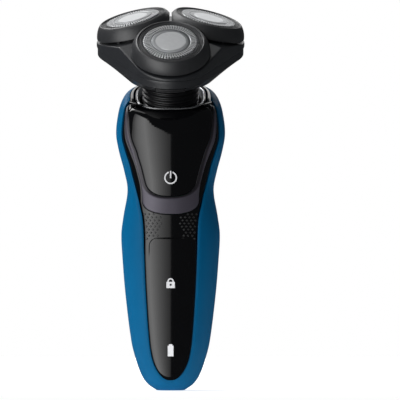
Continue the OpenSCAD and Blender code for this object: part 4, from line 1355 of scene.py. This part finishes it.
parts, pads = [], []
spots = [(-5.2, 37), (-3.4, 37), (-1.6, 37), (0.4, 37), (2.4, 37), (4.6, 37.5), (-5.0, 52), (-3.0, 52),
         (-1.0, 52.4), (5.2, 51), (5.2, 54), (-5.4, 56.5), (-3.4, 60), (-1.2, 60), (1.0, 60), (3.2, 60),
         (-4.8, 66), (-2.4, 66), (2.6, 66), (5.0, 66), (-5.0, 72), (-2.8, 72), (2.8, 72.5), (5.2, 72),
         (-4.6, 40.5), (4.4, 41.5)]
for k, (x, z) in enumerate(spots):
    half_x, half_z = ((0.8, 0.4), (0.4, 0.8), (1.0, 0.6))[k % 3]
    lies = half_x > half_z
    part_x, part_z = (0.6, 1) if lies else (1, 0.6)
    parts.append(on_board("part", x, z, half_x * part_x, half_z * part_z, 0.5, 0.03))
    for side in (-1, 1):
        if lies:
            end = (x + side * half_x * 0.8, z, half_x * 0.25, half_z * 0.95)
        else:
            end = (x, z + side * half_z * 0.8, half_x * 0.95, half_z * 0.25)
        pads.append(on_board("pad", *end, 0.48, 0.02))
finish_piece(joined("surface_parts", parts), "handle", "black_satin", chip_black)
finish_piece(joined("surface_part_ends", pads), "handle", "steel_plain", solder)


# ---- Charging inlet --------------------------------------------------------------------------------
# The two-pole socket in the base: a black housing held behind the shell's floor by its flange, with two
# gold-plated pins.
inlet = rounded_copy("inlet_housing", 0.18)
finish_piece(inlet, "handle", "black_satin", deep_black, "inlet_housing")
pins = [lathe(f"inlet_pin_{side}", [(0, 2.5, 0), (0.5, 2.5, 0.35), (0.5, 14.5, 0.1), (0, 14.5, 0)], 24,
              shift(side * 1.5, hole_y, 0)) for side in (-1, 1)]
finish_piece(joined("inlet_pin_pair", pins), "handle", "contact_gold", gold, "inlet_pins")


# ---- Motor -----------------------------------------------------------------------------------------
# A small direct-current motor lies along the head's axis: a plated steel can with two flats, a black
# nylon end cap, and a steel shaft that carries the white coupler into the socket.
can_steel = metal("plated_can", (0.48, 0.49, 0.50), (0.60, 0.61, 0.62), (0.2, 4), 0.3, 0.15, (0.7, 5, 0.7),
                  (1.5, 4), 0.008)
can = rounded_copy("motor_can", 0.5, 40)
boss = lathe("motor_boss", [(1.4, -38.7, 0), (3.0, -38.7, 0), (3.0, -38.52, 0.08), (1.4, -38.52, 0)], 48,
             head_frame)
join(can, boss)
finish_piece(can, "handle", "steel_plain", can_steel, "motor_can", angle=35)
end_cap = rounded_copy("motor_end_cap", 0.4, 40)
finish_piece(end_cap, "handle", "black_satin", deep_black, "motor_end_cap", angle=35)
shaft = lathe("motor_shaft_ground", [(0, -57.4, 0), (1, -57.4, 0.2), (1, -34.2, 0.2), (0, -34.2, 0)], 40,
              head_frame)
finish_piece(shaft, "rotor", "steel_bright", steel, "motor_shaft")
coupler = rounded_copy("drive_coupler", 0.15, 40)
finish_piece(coupler, "rotor", "gear_white", hub_white, "drive_coupler", angle=30)

({"cad": [list(v) if hasattr(v, "__len__") else v for v in cad_box],
           "scene": [list(v) if hasattr(v, "__len__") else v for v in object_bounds()]})
